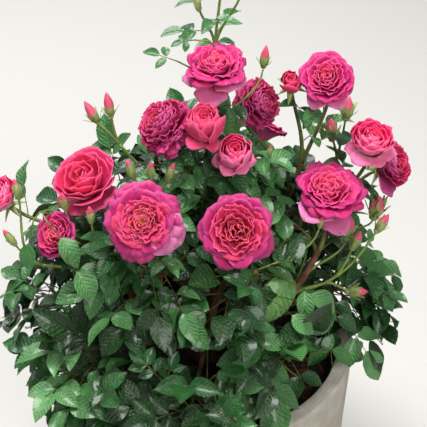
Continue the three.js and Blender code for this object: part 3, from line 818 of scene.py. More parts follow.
def make_petal_finish(name, over, base, middle, rim):
    """Velvet petals that turn from their base colour to their rim."""
    def colour(tree):
        shades = {"Base": tinted(base, over), "Middle": tinted(middle, over), "Rim": tinted(rim, over)}
        return use_group(tree, "petal face", shades).outputs["Color"]

    def height(tree):
        return use_group(tree, "petal face").outputs["Streaks"]

    def roughness(tree):
        return ranged(tree, height(tree), *PETAL_FACE.streak_edges, *PETAL_ROUGHNESS)

    new_finish(name, colour, roughness, height, strength=0.25, distance=0.0004,
               Specular_IOR_Level=0.16, Subsurface_Weight=0.3, Subsurface_Radius=(1.0, 0.2, 0.3),
               Subsurface_Scale=0.004)


# A finish of two colours in patches: their scale, how rough and how deep it is, and its stretch
Mottled = namedtuple("Mottled", "dark pale scale rough depth stretch", defaults=(LENGTHWISE,))
MOTTLED = {
    "old_bark": Mottled("4e3020", "8e6442", 90.0, 0.78, 0.0012),
    "young_bark": Mottled("46401e", "6e7036", 70.0, 0.6, 0.0006),
    "green_stem": Mottled("6c8838", "98b058", 60.0, 0.48, 0.0004),
    "young_stem": Mottled("54602a", "7c8644", 60.0, 0.5, 0.0004),
    "sepal": Mottled("86a050", "aebe78", 80.0, 0.5, 0.0004),
    "prickle": Mottled("7c4034", "a86a50", 120.0, 0.45, 0.0002),
    # the potting mix is near black: partly its own colour, partly painted shade of the pot's inside
    "potting_mix": Mottled("14100c", "3a2a1e", 60.0, 0.95, 0.004, EVEN),
    "bark_chip": Mottled("24140e", "6a4028", 110.0, 0.9, 0.001, (1.0, 0.4, 1.0)),
    "stamen": Mottled("b07820", "e0b040", 200.0, 0.7, 0.0002, EVEN),
}
# How the grain darkens a finish, and how much smoother and rougher it makes it
GRAIN = Values(share=0.5, edges=(0.3, 0.7), shade=(0.55, 1.0), smoother=0.08, rougher=0.06)


def make_mottled_finish(name, look):
    """Patches between two colours, with fine grain in the relief."""
    def patches_and_grain(tree):
        group = use_group(tree, "mottling", {"Scale": look.scale, "Stretch": look.stretch})
        return group.outputs["Patches"], group.outputs["Grain"]

    def colour(tree):
        patches, grain = patches_and_grain(tree)
        patched = blended(tree, patches, paint(look.dark), paint(look.pale))
        shade = ranged(tree, grain, *GRAIN.edges, *GRAIN.shade)
        return blended(tree, GRAIN.share, patched, shade, "MULTIPLY")

    def height(tree):
        return patches_and_grain(tree)[1]

    def roughness(tree):
        smooth = look.rough - GRAIN.smoother
        rough = min(1.0, look.rough + GRAIN.rougher)
        return ranged(tree, height(tree), *GRAIN.edges, smooth, rough)

    new_finish(name, colour, roughness, height, strength=0.6, distance=look.depth)


# How close the bands stand across the rim and up the wall, and how far they drift
BANDS = Values(across=420.0, up=34.0, drift=4.0, detail=4.0)


def make_bands():
    """Fine bands that run round the pot, over its wall and over the top of its rim."""
    inputs = [("Finer", "NodeSocketFloat", 1.0)]
    outputs = [("Bands", "NodeSocketFloat")]
    tree, start, end = new_group("bands round the pot", "ShaderNodeTree", inputs, outputs)
    place = add_node(tree, "ShaderNodeTexCoord").outputs["Object"]
    split = add_node(tree, "ShaderNodeSeparateXYZ", {0: place})
    flat = combined(tree, X=split.outputs["X"], Y=split.outputs["Y"])
    out = add_node(tree, "ShaderNodeVectorMath", {0: flat}, operation="LENGTH").outputs["Value"]
    drift = vector_node(tree, "SCALE", {0: place, "Scale": BANDS.drift})
    across = math_node(tree, "MULTIPLY", out, BANDS.across)
    up = math_node(tree, "MULTIPLY", split.outputs["Z"], BANDS.up)
    both = vector_node(tree, "ADD", {0: combined(tree, X=across, Z=up), 1: drift})
    bands = noise_node(tree, both, start.outputs["Finer"], BANDS.detail)
    tree.links.new(bands, end.inputs["Bands"])


# The pot's two colours of stone, its dirt, and how its patches, streaks, bands and grain show
STONE = Values(
    dark="cec6b6", pale="e8e2d6", dirt="8c8676", patches=7.0, streaks=14.0,
    streak_stretch=(1.0, 1.0, 0.12), streak_share=0.38, edges=(0.3, 0.7), band_shade=(0.82, 1.0),
    grain_shade=(0.76, 1.0), shade_share=0.8, rough_patches=30.0, roughness=(0.78, 0.95),
    relief_grain=40.0, depth=0.0015,
)


def make_stone_finish(name, over):
    """Weathered stone: pale, banded round its rim, streaked down the wall by rain, with grey patches."""
    def bands(tree):
        return use_group(tree, "bands round the pot").outputs["Bands"]

    def colour(tree):
        broad = use_group(tree, "mottling", {"Scale": STONE.patches})
        dripped = {"Scale": STONE.streaks, "Stretch": STONE.streak_stretch}
        streaks = use_group(tree, "mottling", dripped).outputs["Patches"]
        dark, pale = tinted(STONE.dark, over), tinted(STONE.pale, over)
        stone = blended(tree, broad.outputs["Patches"], dark, pale)
        wet = math_node(tree, "MULTIPLY", streaks, STONE.streak_share)
        streaked = blended(tree, wet, stone, paint(STONE.dirt))
        shade = ranged(tree, bands(tree), *STONE.edges, *STONE.band_shade)
        banded = blended(tree, STONE.shade_share, streaked, shade, "MULTIPLY")
        grain = ranged(tree, broad.outputs["Grain"], *STONE.edges, *STONE.grain_shade)
        return blended(tree, STONE.shade_share, banded, grain, "MULTIPLY")

    def roughness(tree):
        patches = use_group(tree, "mottling", {"Scale": STONE.rough_patches}).outputs["Patches"]
        return ranged(tree, patches, 0.0, 1.0, *STONE.roughness)

    def height(tree):
        grain = use_group(tree, "mottling", {"Scale": STONE.relief_grain}).outputs["Grain"]
        return math_node(tree, "ADD", bands(tree), grain)

    new_finish(name, colour, roughness, height, strength=0.7, distance=STONE.depth)


def make_finishes(tints):
    """The shader groups, and each material of the bush and its pot."""
    make_mottling()
    make_leaf_veins()
    make_petal_face()
    make_bands()
    for name, colours in LEAF_COLOURS.items():
        make_leaf_finish(name, tints.leaves, *colours)
    for name, colours in PETAL_COLOURS.items():
        make_petal_finish("petal_" + name, tints.petals, *colours)
    for name, look in MOTTLED.items():
        make_mottled_finish(name, look)
    make_stone_finish("weathered_stone", tints.stone)


# Pot and soil

LATHE = Values(middle=0.004, pot=160, soil=120, chip_ground=48)  # smallest radius, and sides
WALL = Values(ends=(0.05, 0.95), outer_rings=34, inner_rings=12)
STONE_WEAR = Values(
    least_radius=0.1, least_height=0.0001, wave=(9, 0.0010), ripple=(45, 0.0005), inset=0.0008,
    chips=(60, 0.004), chip_least=0.35, chip_band=0.004, foot=0.01, sunk=0.0004,
)
SOIL_SHAPE = Values(rings=40, inner=0.02, edge_drop=0.004, surface_band=0.002)
CRUMBS = Values(broad=(40, 0.003), fine=(130, 0.0022), highest=0.0015)


def ripples(spot, wave):
    """The height of noise at a spot: how fine the noise is, and how deep."""
    return noise.noise(spot * wave[0]) * wave[1]


def lathe(profile, sides, relief=None):
    """The points, faces and map places of a profile of radius and height turned round the middle."""
    points = []
    places = []
    for k, (radius, height) in enumerate(profile):
        for j in range(sides):
            angle = math.tau * j / sides
            spot = Vector((radius * math.cos(angle), radius * math.sin(angle), height))
            if relief:
                spot += relief(spot, radius, height)
            points.append(spot)
            places.append((j / sides, k / len(profile)))
    return np.array(points), ring_faces(len(profile), sides), np.array(places)


def rounded(corner, before, after, radius, steps=5):
    """Points of a small arc that rounds a corner of a profile."""
    corner, before, after = (np.array(point) for point in (corner, before, after))
    start = corner + unit(before - corner) * radius
    end = corner + unit(after - corner) * radius
    shares = np.linspace(0, 1, steps)
    return [tuple((1 - t) ** 2 * start + 2 * t * (1 - t) * corner + t * t * end) for t in shares]


def pot_profile(rounding):
    """The pot's outline from the middle of its underside, round its rim, to the middle of its floor."""
    foot = POT.rim_radius - POT.taper * POT.height
    outer = POT.rim_radius
    inner = outer - POT.wall
    well = foot - POT.wall
    top, floor = POT.height, POT.floor
    low, high = WALL.ends
    profile = [(LATHE.middle, 0.0), (foot / 2, 0.0)]
    profile += rounded((foot, 0), (foot / 2, 0), (outer, top), rounding)
    for share in np.linspace(low, high, WALL.outer_rings):
        profile.append((foot + (outer - foot) * share, top * share))
    profile += rounded((outer, top), (foot, 0), (inner, top), rounding)
    profile += rounded((inner, top), (outer, top), (well, floor), rounding)
    for share in np.linspace(high, low, WALL.inner_rings):
        profile.append((well + (inner - well) * share, floor + (top - floor) * share))
    return profile + [(well, floor), (LATHE.middle, floor)]


def pot_relief(spot, radius, height):
    """Hand-made unevenness of the stone, and small chips on its rim."""
    wear = STONE_WEAR
    if height <= wear.least_height or radius < wear.least_radius:
        return Vector((0, 0, 0))
    outward = Vector((spot.x, spot.y, 0)).normalized()
    wave = ripples(spot, wear.wave) + ripples(spot, wear.ripple)
    worn = 0.0
    if height > POT.height - wear.chip_band:
        fineness, depth = wear.chips
        worn = max(0.0, noise.noise(spot * fineness) - wear.chip_least) * depth
    sunk = worn + wear.sunk if height > wear.foot else 0
    return outward * (wave - wear.inset) - Vector((0, 0, sunk))


def soil_profile():
    """The soil's outline, from its underside up to the low mound round the foot of the bush."""
    inner = POT.rim_radius - POT.wall - SOIL.clearance
    bottom = inner - POT.taper * (POT.height - POT.floor)
    edge = inner - POT.taper * SOIL.below_rim
    under = POT.floor + SEAT
    profile = [(LATHE.middle, under), (bottom, under), (edge, SURFACE - SOIL_SHAPE.edge_drop)]
    for share in np.linspace(1, SOIL_SHAPE.inner, SOIL_SHAPE.rings):
        radius = edge * share
        mound = min(1.0, max(0.0, (edge - radius) / (edge - SOIL.mound)))
        profile.append((radius, SURFACE + SOIL.crowning * mound))
    return profile


def soil_relief(spot, radius, height):
    """Crumbs and hollows on the soil's surface."""
    if height < SURFACE - SOIL_SHAPE.surface_band:
        return Vector((0, 0, 0))
    crumbs = ripples(spot, CRUMBS.broad) + ripples(spot, CRUMBS.fine)
    return Vector((0, 0, min(crumbs, CRUMBS.highest)))


# Canes and boughs

# Sides and rings of each kind of stem
DETAIL = Values(
    foot=(40, 18), cane=(16, 90), bough=(12, 40), mass_stem=(8, 14), twig=(6, 6), fine_twig=(4, 3),
    stalk=(3, 4), shoot=(8, 16), spray=(8, 12), bud_stem=(6, 10), leader_stem=(6, 12),
    small_bud_stem=(6, 14), lone_stem=(6, 12), stamen=(5, 4),
)
BARK = Values(
    around=1.6, along=55, finer=3.1, fine_share=0.5, scars=210, scar_sharpness=24, scar_height=0.12,
    shift=(7.3, 3.1, 1.7),
)
KNOBS = Values(around=1.8, along=2.5, height=0.16)


def bark_relief(seed, depth):
    """Ridges, hollows and the raised rings of old leaf scars, as a share of a limb's radius."""
    shift = Vector([seed * part for part in BARK.shift])
    around = BARK.around

    def relief(angle, run):
        spot = Vector((math.cos(angle) * around, math.sin(angle) * around, run * BARK.along)) + shift
        scar = max(0.0, math.cos(run * BARK.scars + seed)) ** BARK.scar_sharpness
        fine = depth * BARK.fine_share * noise.noise(spot * BARK.finer)
        return depth * noise.noise(spot) + fine + BARK.scar_height * scar

    return relief


def foot_points(sides, rings):
    """The grafted foot of the bush, flared and knobbly, from the soil up to its neck."""
    ground = SURFACE + SOIL.crowning + SEAT
    around = KNOBS.around
    points = []
    places = []
    for k in range(rings):
        along = k / (rings - 1)
        radius = FOOT.neck + (FOOT.base - FOOT.neck) * (1 - along) ** 2
        for j in range(sides):
            angle = math.tau * j / sides
            spot = Vector((math.cos(angle) * around, math.sin(angle) * around, along * KNOBS.along))
            knob = 1 + KNOBS.height * noise.noise(spot)
            x = math.cos(angle) * radius * knob + FOOT.lean[0] * along
            y = math.sin(angle) * radius * knob + FOOT.lean[1] * along
            points.append((x, y, ground + FOOT.height * along))
            places.append((j / sides, along * FOOT.height))
    return np.array(points), ring_faces(rings, sides), np.array(places)


# Leaves

# A leaflet of unit length. Of a pair, a value is drawn between the two.
LEAFLET = Values(
    shapes=14, width=0.66, breadth=(0.86, 1.1), teeth=11, tooth_middle=0.5, tooth_tip=0.66, notch=0.010,
    fold_line=0.55, fold=(0.14, 0.72), droop=(0.04, 0.44), wave=(0.0, 0.05), wave_height=3, waves=8,
    twist=(-0.25, 0.25), point=(0.0, 0.05), point_power=8, tested=5,
)
OUTLINE = ((0, 0.10, 0.24, 0.42, 0.60, 0.76, 0.90, 1), (0.06, 0.54, 0.88, 1.0, 0.94, 0.71, 0.36, 0.0))
# Where the pairs of leaflets stand along the stalk of a leaf of so many, and their share of full length
PAIRS = {5: ((0.34, 0.80), (0.80, 0.95)), 3: ((0.62, 0.90),), 1: ()}
# A leaf's stalk, as shares of the leaf's length, and its thickness
STALK = Values(share=0.55, alone=0.3, sag=(0.04, 0.16), base=0.0008, tip=0.0005)
# How leaflets stand on their stalk
STANCE = Values(
    spread=1.05, spread_scatter=0.3, droop=0.16, roll=0.35, roll_middle=0.35, pitch=0.3, gap=0.0015,
    last_droop=0.15, last_size=1.08,
)


def leaflet_shape(draw):
    """A finely toothed, folded and drooping leaflet of unit length: its points, faces and map places."""
    teeth = LEAFLET.teeth
    fold = mix(LEAFLET.fold, draw())
    droop = mix(LEAFLET.droop, draw())
    wave = mix(LEAFLET.wave, draw())
    phase = draw() * ANY_TURN
    twist = mix(LEAFLET.twist, draw())
    half = LEAFLET.width / 2 * mix(LEAFLET.breadth, draw())
    point = mix(LEAFLET.point, draw())

    def spot(across, y):
        waved = wave * abs(across) * LEAFLET.wave_height * math.sin(LEAFLET.waves * y + phase)
        rise = abs(across) * fold - droop * y * y + waved
        return (across, y, rise + twist * across * y)

    def width_at(y):
        return half * float(np.interp(y, *OUTLINE))

    def pointed(y):
        return y + point * y ** LEAFLET.point_power

    rows = [k / teeth for k in range(teeth + 1)]
    points = [spot(0, pointed(y)) for y in rows]
    faces = []
    for way in (1, -1):
        first = len(points)
        points += [spot(way * width_at(y) * LEAFLET.fold_line, pointed(y)) for y in rows]
        notches = len(points)
        points += [spot(way * width_at(y), pointed(y)) for y in rows]
        tips = len(points)
        for y in rows[:-1]:
            wide = width_at(y + LEAFLET.tooth_middle / teeth) + LEAFLET.notch
            points.append(spot(way * wide, y + LEAFLET.tooth_tip / teeth))
        for k in range(teeth):
            inner = (k, first + k, first + k + 1, k + 1)
            outer = (first + k, notches + k, tips + k, notches + k + 1, first + k + 1)
            faces += [inner, outer] if way == 1 else [inner[::-1], outer[::-1]]
    points = np.array(points)
    places = np.stack([points[:, 0] / LEAFLET.width + 0.5, points[:, 1]], axis=1)
    return points, faces, places


class Foliage:
    """Compound leaves and their stalks, kept clear of the flowers, the soil and the pot."""

    def __init__(self, seed, stalks, stalk_slot=0):
        self.draw = seeded(seed)
        self.stalk_slot = stalk_slot
        self.keep_open = True
        self.blades = Pile()
        self.stalks = stalks
        self.shapes = [leaflet_shape(self.draw) for _ in range(LEAFLET.shapes)]

    def leaflet(self, root, along, face, length, slot):
        """Adds one leaflet, if its space is free, and says whether it did."""
        right = unit(np.cross(along, face))
        basis = np.array([right, along, np.cross(right, along)])
        shape, faces, places = self.shapes[int(self.draw() * len(self.shapes)) % len(self.shapes)]
        points = root + (shape * length) @ basis
        if any(is_taken(point, self.keep_open) for point in points[::LEAFLET.tested]):
            return False
        self.blades.add(points, faces, places, slot)
        return True

    def leaf(self, root, along, face, length, leaflets, slot):
        """Adds a compound leaf: its pairs of leaflets, the last one and, if any stand, their stalk."""
        draw = self.draw
        right = unit(np.cross(along, face))
        run = length * (STALK.share if leaflets > 1 else STALK.alone)
        sag = mix(STALK.sag, draw()) * run

        def stalk(t):
            return root + along * run * t - UP * sag * t * t

        if is_taken(stalk(1.0), self.keep_open):
            return False
        size = length - run
        stands = 0
        for up, share in PAIRS[leaflets]:
            ahead = tangent(stalk, up)
            for way in (1, -1):
                spread = STANCE.spread + STANCE.spread_scatter * (draw() - 0.5)
                droop = face * STANCE.droop * draw()
                out = unit(ahead * math.cos(spread) + right * way * math.sin(spread) - droop)
                roll = right * way * STANCE.roll * (draw() - STANCE.roll_middle)
                pitch = ahead * STANCE.pitch * (draw() - 0.5)
                foot = stalk(up) + out * STANCE.gap
                stands += self.leaflet(foot, out, unit(face + roll + pitch), size * share, slot)
        ahead = unit(tangent(stalk, 1.0) - face * STANCE.last_droop * draw())
        stands += self.leaflet(stalk(1.0), ahead, face, size * STANCE.last_size, slot)
        if stands:
            stem = tube(stalk, STALK.base, STALK.tip, *DETAIL.stalk)
            self.stalks.add(*stem, slot=self.stalk_slot)
        return stands > 0


# The ball that leaves keep out of at each flower, in shares of its width
BLOOM_BALL = Values(back=0.16, radius=0.47)
BLOOM_BALLS = [
    (np.array(flower.place) - facing(flower.face) * flower.across * BLOOM_BALL.back,
     flower.across * BLOOM_BALL.radius)
    for flower in FLOWERS.values()
]
CLEAR = 0.002  # how far leaves keep from stone and soil
OPENING = Values(azimuth=-43, half=23, out=0.140, slope=0.5, below=0.44)  # bare stretch of the rim
SPILL = 0.008  # how far a leaf may stand out of the solids' box
SKIRT = Values(out=0.240, slope=0.8)  # how far out leaves may hang at the rim's height, and less below it
BARE_POINTS = np.array([
    CANE_CURVES[bare.cane](share)
    for bare in BARE
    for share in np.linspace(bare.first, bare.last, BARE_STEPS)
])
BARE_RADII = np.repeat([bare.radius for bare in BARE], BARE_STEPS)
SIGHTS = np.array([unit(way) for way in np.array(VIEW.place) - BARE_POINTS])


def hides_bare_cane(point):
    """True between the camera and a stretch of cane that stays in view."""
    offset = point - BARE_POINTS
    ahead = np.sum(offset * SIGHTS, axis=1)
    aside = np.sum(offset ** 2, axis=1) - ahead ** 2
    return bool(np.any((aside < BARE_RADII ** 2) & (ahead > LEAF_AHEAD)))


def is_taken(point, keep_open=True):
    """True where a flower, the pot or the soil already is, outside the bush's own space, before a cane
    that stays in view, and over the stretch of the rim that stays open."""
    x, y, z = point
    low, high = cad_box
    if any(not low[i] - SPILL < point[i] < high[i] + SPILL for i in range(3)):
        return True
    out = math.hypot(x, y)
    outer = POT.rim_radius - POT.taper * (POT.height - z)
    if z < POT.height + CLEAR and outer - POT.wall - CLEAR < out < outer + CLEAR:
        return True
    if z < SURFACE + SOIL.crowning and out < outer:
        return True
    if out > SKIRT.out + SKIRT.slope * (z - POT.height):
        return True
    aside = abs(math.degrees(math.atan2(y, x)) - OPENING.azimuth)
    edge = OPENING.out + OPENING.slope * (z - POT.height)
    if keep_open and aside < OPENING.half and out > edge and z < OPENING.below:
        return True
    if keep_open and hides_bare_cane(point):
        return True
    return any(np.sum((point - middle) ** 2) < radius * radius for middle, radius in BLOOM_BALLS)


LEAF_SLOTS = tuple(LEAF_COLOURS)

# A leaf that the photo shows by itself: the cane that it grows from, its root, its tip and its leaflets.
LoneLeaf = namedtuple("LoneLeaf", "cane at root tip leaflets slot")
LONE_LEAVES = (
    LoneLeaf("right_front", 0.40, (0.094, -0.086, 0.386), (0.130, -0.140, 0.352), 3, 1),
    LoneLeaf("right_front", 0.55, (0.140, -0.062, 0.412), (0.150, -0.112, 0.352), 3, 2),
    LoneLeaf("front", 0.35, (0.058, -0.086, 0.392), (0.084, -0.176, 0.366), 5, 3),
    LoneLeaf("front", 0.40, (0.030, -0.100, 0.398), (0.040, -0.186, 0.372), 5, 2),
    LoneLeaf("right_front", 0.60, (0.158, -0.038, 0.405), (0.212, -0.082, 0.352), 3, 3),
    LoneLeaf("right", 0.72, (0.160, 0.016, 0.470), (0.222, -0.036, 0.420), 5, 2),
    # this leaf takes the brighter young colour as painted light against the shade it stands in
    LoneLeaf("right_front", 0.66, (0.108, -0.040, 0.497), (0.064, -0.095, 0.464), 1, 4),
    LoneLeaf("left", 0.70, (-0.166, -0.086, 0.577), (-0.134, -0.111, 0.550), 1, 3),
    LoneLeaf("left", 0.62, (-0.148, -0.106, 0.548), (-0.118, -0.134, 0.522), 1, 3),
    LoneLeaf("left", 0.66, (-0.190, -0.080, 0.566), (-0.196, -0.104, 0.536), 1, 2),
    LoneLeaf("middle", 0.88, (-0.030, 0.012, 0.722), (-0.066, 0.020, 0.734), 3, 2),
    LoneLeaf("middle", 0.92, (-0.012, 0.016, 0.746), (-0.036, 0.004, 0.752), 3, 2),
)


# What moves the draw of a spray's colour, with painted shade that darkens sprays inside a mass, and the
# bounds between one colour and the next
LEAF_COLOURING_AND_PAINTED_SHADE = Values(
    young_from=0.40, young_over=0.30, youth=0.16, outside=0.30, halfway_out=0.55,
    bounds=(0.26, 0.52, 0.86, 1.12),
)


def leaf_colour_with_painted_shade(draw, root, outness):
    """The colour of a spray: darker inside the bush as painted shade, brighter at its outside as painted
    light, younger near its top.
    """
    young = min(1.0, max(0.0, (root[2] - LEAF_COLOURING_AND_PAINTED_SHADE.young_from) / LEAF_COLOURING_AND_PAINTED_SHADE.young_over))
    # painted shade: the further inside its mass a spray grows, the darker the colour it draws
    outside = LEAF_COLOURING_AND_PAINTED_SHADE.outside * (outness - LEAF_COLOURING_AND_PAINTED_SHADE.halfway_out)
    chance = draw() + outside + LEAF_COLOURING_AND_PAINTED_SHADE.youth * young
    return sum(chance >= bound for bound in LEAF_COLOURING_AND_PAINTED_SHADE.bounds)


# Where the photo sees the canes and the gaps between them, fewer sprouts grow.
THINNED = {
    "right": 0.50,
    "front_right": 0.58,
    "front": 0.54,
    "left": 0.42,
    "front_left": 0.53,
    "upper_right": 0.50,
    "upper_front": 0.58,
    "crown": 0.58,
}
FINE = Values(
    over=0.012, reach=0.104, leaf=0.086, leaf_share=0.72, leaf_sizes=(0.85, 1.05), grown=0.68,
    always=0.9, scatter=0.9, flattened=0.45, rise=0.1, droop=0.1, narrowing=0.7,
)
SIDE_LEAF = Values(
    chance=0.5, at=0.35, sideways=0.85, ahead=0.5, droop=0.1, rise=0.1, sizes=(0.65, 0.85),
)


def grow_mass(name, index, pile_twigs):
    """The leaves of one mass, and its twigs added to the bush's twigs."""
    mass = MASSES[name]
    carrier = BOUGH_CURVES[name] if mass.cane is None else CANE_CURVES[mass.cane]
    start, leaving = seat_on(carrier, mass.at)
    stem, twigs, sprouts = grow_plan(mass, start, leaving, SEEDS.masses + index)
    foliage = Foliage(SEEDS.leaves + index, pile_twigs)
    pile_twigs.add(*tube(stem, TWIG_STEM.base, TWIG_STEM.tip, *DETAIL.mass_stem))
    for twig in twigs:
        pile_twigs.add(*tube(twig, TWIG.base, TWIG.tip, *DETAIL.twig))
    for sprout in sprouts:
        if foliage.draw() > THINNED.get(name, FINE.grown) and sprout.up < FINE.always:
            continue
        root = sprout.on(sprout.up)
        for turn in range(MASS.turns):
            along = leaning(tangent(sprout.on, sprout.up), sprout.lean, sprout.turn + turn * GOLDEN)
            room = room_in(mass, root, along) + FINE.over
            if room > LEAF.length * LEAF.least:
                # how far out the spray grows, which sets the painted shade of its colour
                outness = np.linalg.norm(root - centre_of(mass)) / mass.reach
                grow_fine_twig(foliage, root, along, min(room, FINE.reach), outness)
                break
    return foliage


def grow_fine_twig(foliage, root, along, reach, outness):
    """A finer twig with a leaf at its end and, as often as not, one at its side."""
    draw = foliage.draw
    scatter = np.array([draw() - 0.5, draw() - 0.5, 0.0]) * FINE.scatter
    face = unit(light_side(root) + scatter)
    along = unit(along - face * (along @ face) * FINE.flattened)
    leaf = min(reach, FINE.leaf)
    run = reach - leaf * FINE.leaf_share

    def twig(t):
        return root + along * run * t + UP * FINE.rise * run * t * t

    if is_taken(twig(1.0)):
        return
    slot = leaf_colour_with_painted_shade(draw, root, outness)
    ahead = unit(along - face * FINE.droop)
    if not foliage.leaf(twig(1.0), ahead, face, leaf * mix(FINE.leaf_sizes, draw()), 5, slot):
        return
    foliage.stalks.add(*tube(twig, TWIG.tip, TWIG.tip * FINE.narrowing, *DETAIL.fine_twig))
    if draw() < SIDE_LEAF.chance:
        side = unit(np.cross(along, face)) * (1 if draw() < 0.5 else -1)
        level = side * SIDE_LEAF.sideways + along * SIDE_LEAF.ahead
        out = unit(level - face * SIDE_LEAF.droop + UP * SIDE_LEAF.rise)
        size = leaf * mix(SIDE_LEAF.sizes, draw())
        foliage.leaf(twig(SIDE_LEAF.at), out, face, size, 5, slot)


# Flowers

HANGING = {
    "bright": "pale",
    "rich": "pale",
    "coral": "coral_back",
    "blush": "blush_back",
    "deep": "deep_back",
    "faded": "faded_back",
}
WHORL_NAMES = ("outer", "middle", "heart", "back")
DRESSES = {
    dress: (*(f"petal_{dress}_{whorl}" for whorl in WHORL_NAMES), "petal_" + hanging)
    for dress, hanging in HANGING.items()
}
OUTER, MIDDLE, HEART, BACK, HANGING_SLOT = range(5)
# Where the middle whorl and the heart begin, how the petals crowd inwards, and how far they stray
WHORLS = Values(middle=0.36, heart=0.72, crowding=0.9, muddle=0.35, open_muddle=4, open_below=0.25)

# A petal in shares of its flower's radius. Of a pair, one is for the outermost petal and one for the
# innermost, or a value is drawn between the two. A narrow petal is less broad than NARROW.
PETAL_ROWS = 9
PETAL_COLUMNS = 9
NARROW = 0.8
HANGING_CUP = 0.1
LINE = Values(
    size=(0.88, 1.08), faded_size=(0.80, 1.08), opening=0.8, faded_opening=1.3, root_out=0.02,
    root_spread=0.10, root_low=0.74, root_rise=0.30, reach=0.93, reach_power=1.25, least_reach=0.06,
    closing=0.36, closing_power=1.5, faded_reach=((0, 0.3), (0.74, 1)), height_at=(0, 0.3, 0.65, 1),
    heights=(-0.10, 0.10, 0.13, 0.10), heights_cupped=(0.44, 0.28, 0.24, 0.16),
    heights_faded=(-0.66, -0.22, 0.08, 0.06), height_scatter=0.13, hanging_reach=(0.90, 1.06),
    hanging_heights=(-0.62, -0.22), cupped_out=1.10, cupped_wider=0.42, cupped_up=0.30, arched_out=0.52,
    arch=(0.10, 0.26), hanging_arch=0.16,
)
RIM = Values(
    corners=(0.18, 0.36), closed_corners=(0.10, 0.24), closed_above=0.8, narrow_corners=(0.04, 0.16),
    corner_power=2.1, corner_start=1.5, lopsided=0.16, point=0.10, narrow_point=0.03, point_start=6,
    point_power=1.5,
)
RELIEF = Values(
    ruffle=(0.042, 0.030), waves=4.2, fine_waves=9.5, fine_share=0.9, lip=(0.17, 0.04),
    lip_sizes=(0.3, 1.5), lip_closed=0.8, lip_from=0.70, lip_over=0.30, lip_middle=0.6, lip_sides=0.6,
    side=(0.06, 0.02), side_from=0.6, side_over=0.4, inward=0.5,
)
WIDTH = Values(
    width=(0.46, 0.24), sizes=(0.8, 1.15), closed=(1.0, 1.6), claw=0.26, blade=0.74, blade_from=0.82,
    least_wrap=0.16, wrap=(1.30, 1.0), yaw=0.7, open_yaw=1.7, middle=0.9,
)
LEAST_SLOPE = 1e-6  # keeps a slope of no length from being divided by nothing


def petal_line(flower, cup, t, draw, hanging):
    """Where a petal starts, bends and ends, each as its way out from the flower's axis and up it."""
    faded = flower.dress == "faded"
    deep = ROSE.depth + ROSE.deeper * flower.cup
    scale = mix((LINE.faded_size if faded else LINE.size), draw())
    open_share = (1 - cup) * (1 - t) ** (LINE.faded_opening if faded else LINE.opening)
    root_out = LINE.root_spread * (1 - t) + LINE.root_out
    root = np.array([root_out, -deep * (LINE.root_low - LINE.root_rise * t)])
    reach = (1 - t ** LINE.reach_power) * (1 - LINE.closing * cup ** LINE.closing_power)
    tip_out = (reach + LINE.least_reach) * scale * LINE.reach
    if faded:
        tip_out *= np.interp(t, *LINE.faded_reach)
    heights = [low + more * cup for low, more in zip(LINE.heights, LINE.heights_cupped)]
    if faded:
        heights = LINE.heights_faded
    tip_high = np.interp(t, LINE.height_at, heights) + LINE.height_scatter * (draw() - 0.5)
    if hanging:
        tip_out = mix(LINE.hanging_reach, draw())
        tip_high = mix(LINE.hanging_heights, draw())
    tip = np.array([tip_out, tip_high])
    cupped_out = tip_out * (LINE.cupped_out + LINE.cupped_wider * cup)
    cupped = np.array([cupped_out, root[1] + LINE.cupped_up * (tip[1] - root[1])])
    arch = mix(LINE.arch, draw()) - (LINE.hanging_arch if hanging else 0)
    arched = np.array([tip_out * LINE.arched_out, tip[1] + arch])
    return root, mix((cupped, arched), open_share), tip


def petal_rows(flower, cup, u, v, draw):
    """How far up its line each point of a petal stands, with rounded corners and a slight point."""
    narrow = flower.broad < NARROW
    corners = RIM.closed_corners if cup > RIM.closed_above else RIM.corners
    if narrow:
        corners = RIM.narrow_corners
    away = np.abs(u)
    rounding = mix(corners, draw())
    lopsided = RIM.lopsided * (draw() - 0.5) * u
    s = v * (1 - (rounding * away ** RIM.corner_power + lopsided) * v ** RIM.corner_start)
    point = (RIM.narrow_point if narrow else RIM.point)
    return s + point * v ** RIM.point_start * (1 - away) ** RIM.point_power


def petal_relief(flower, cup, t, u, s, draw):
    """How far a petal's ruffles lift each of its points, and how far its rim and sides curl."""
    away = np.abs(u)
    broad = np.sin(RELIEF.waves * u + draw() * ANY_TURN)
    fine = RELIEF.fine_share * np.sin(RELIEF.fine_waves * u + draw() * ANY_TURN) * s
    ruffle = mix(RELIEF.ruffle, t) * s ** 2 * (broad + fine)
    lip = mix(RELIEF.lip, t) * (1 - RELIEF.lip_closed * cup) * mix(RELIEF.lip_sizes, draw())
    lip *= min(1.0, flower.broad)
    past = np.clip((s - RELIEF.lip_from) / RELIEF.lip_over, 0, 1) ** 2
    sides = np.clip((away - RELIEF.side_from) / RELIEF.side_over, 0, 1) ** 2
    side_roll = mix(RELIEF.side, t) * sides * s * min(1.0, flower.broad)
    curl = lip * past * (RELIEF.lip_middle + RELIEF.lip_sides * away) + side_roll
    return ruffle, curl


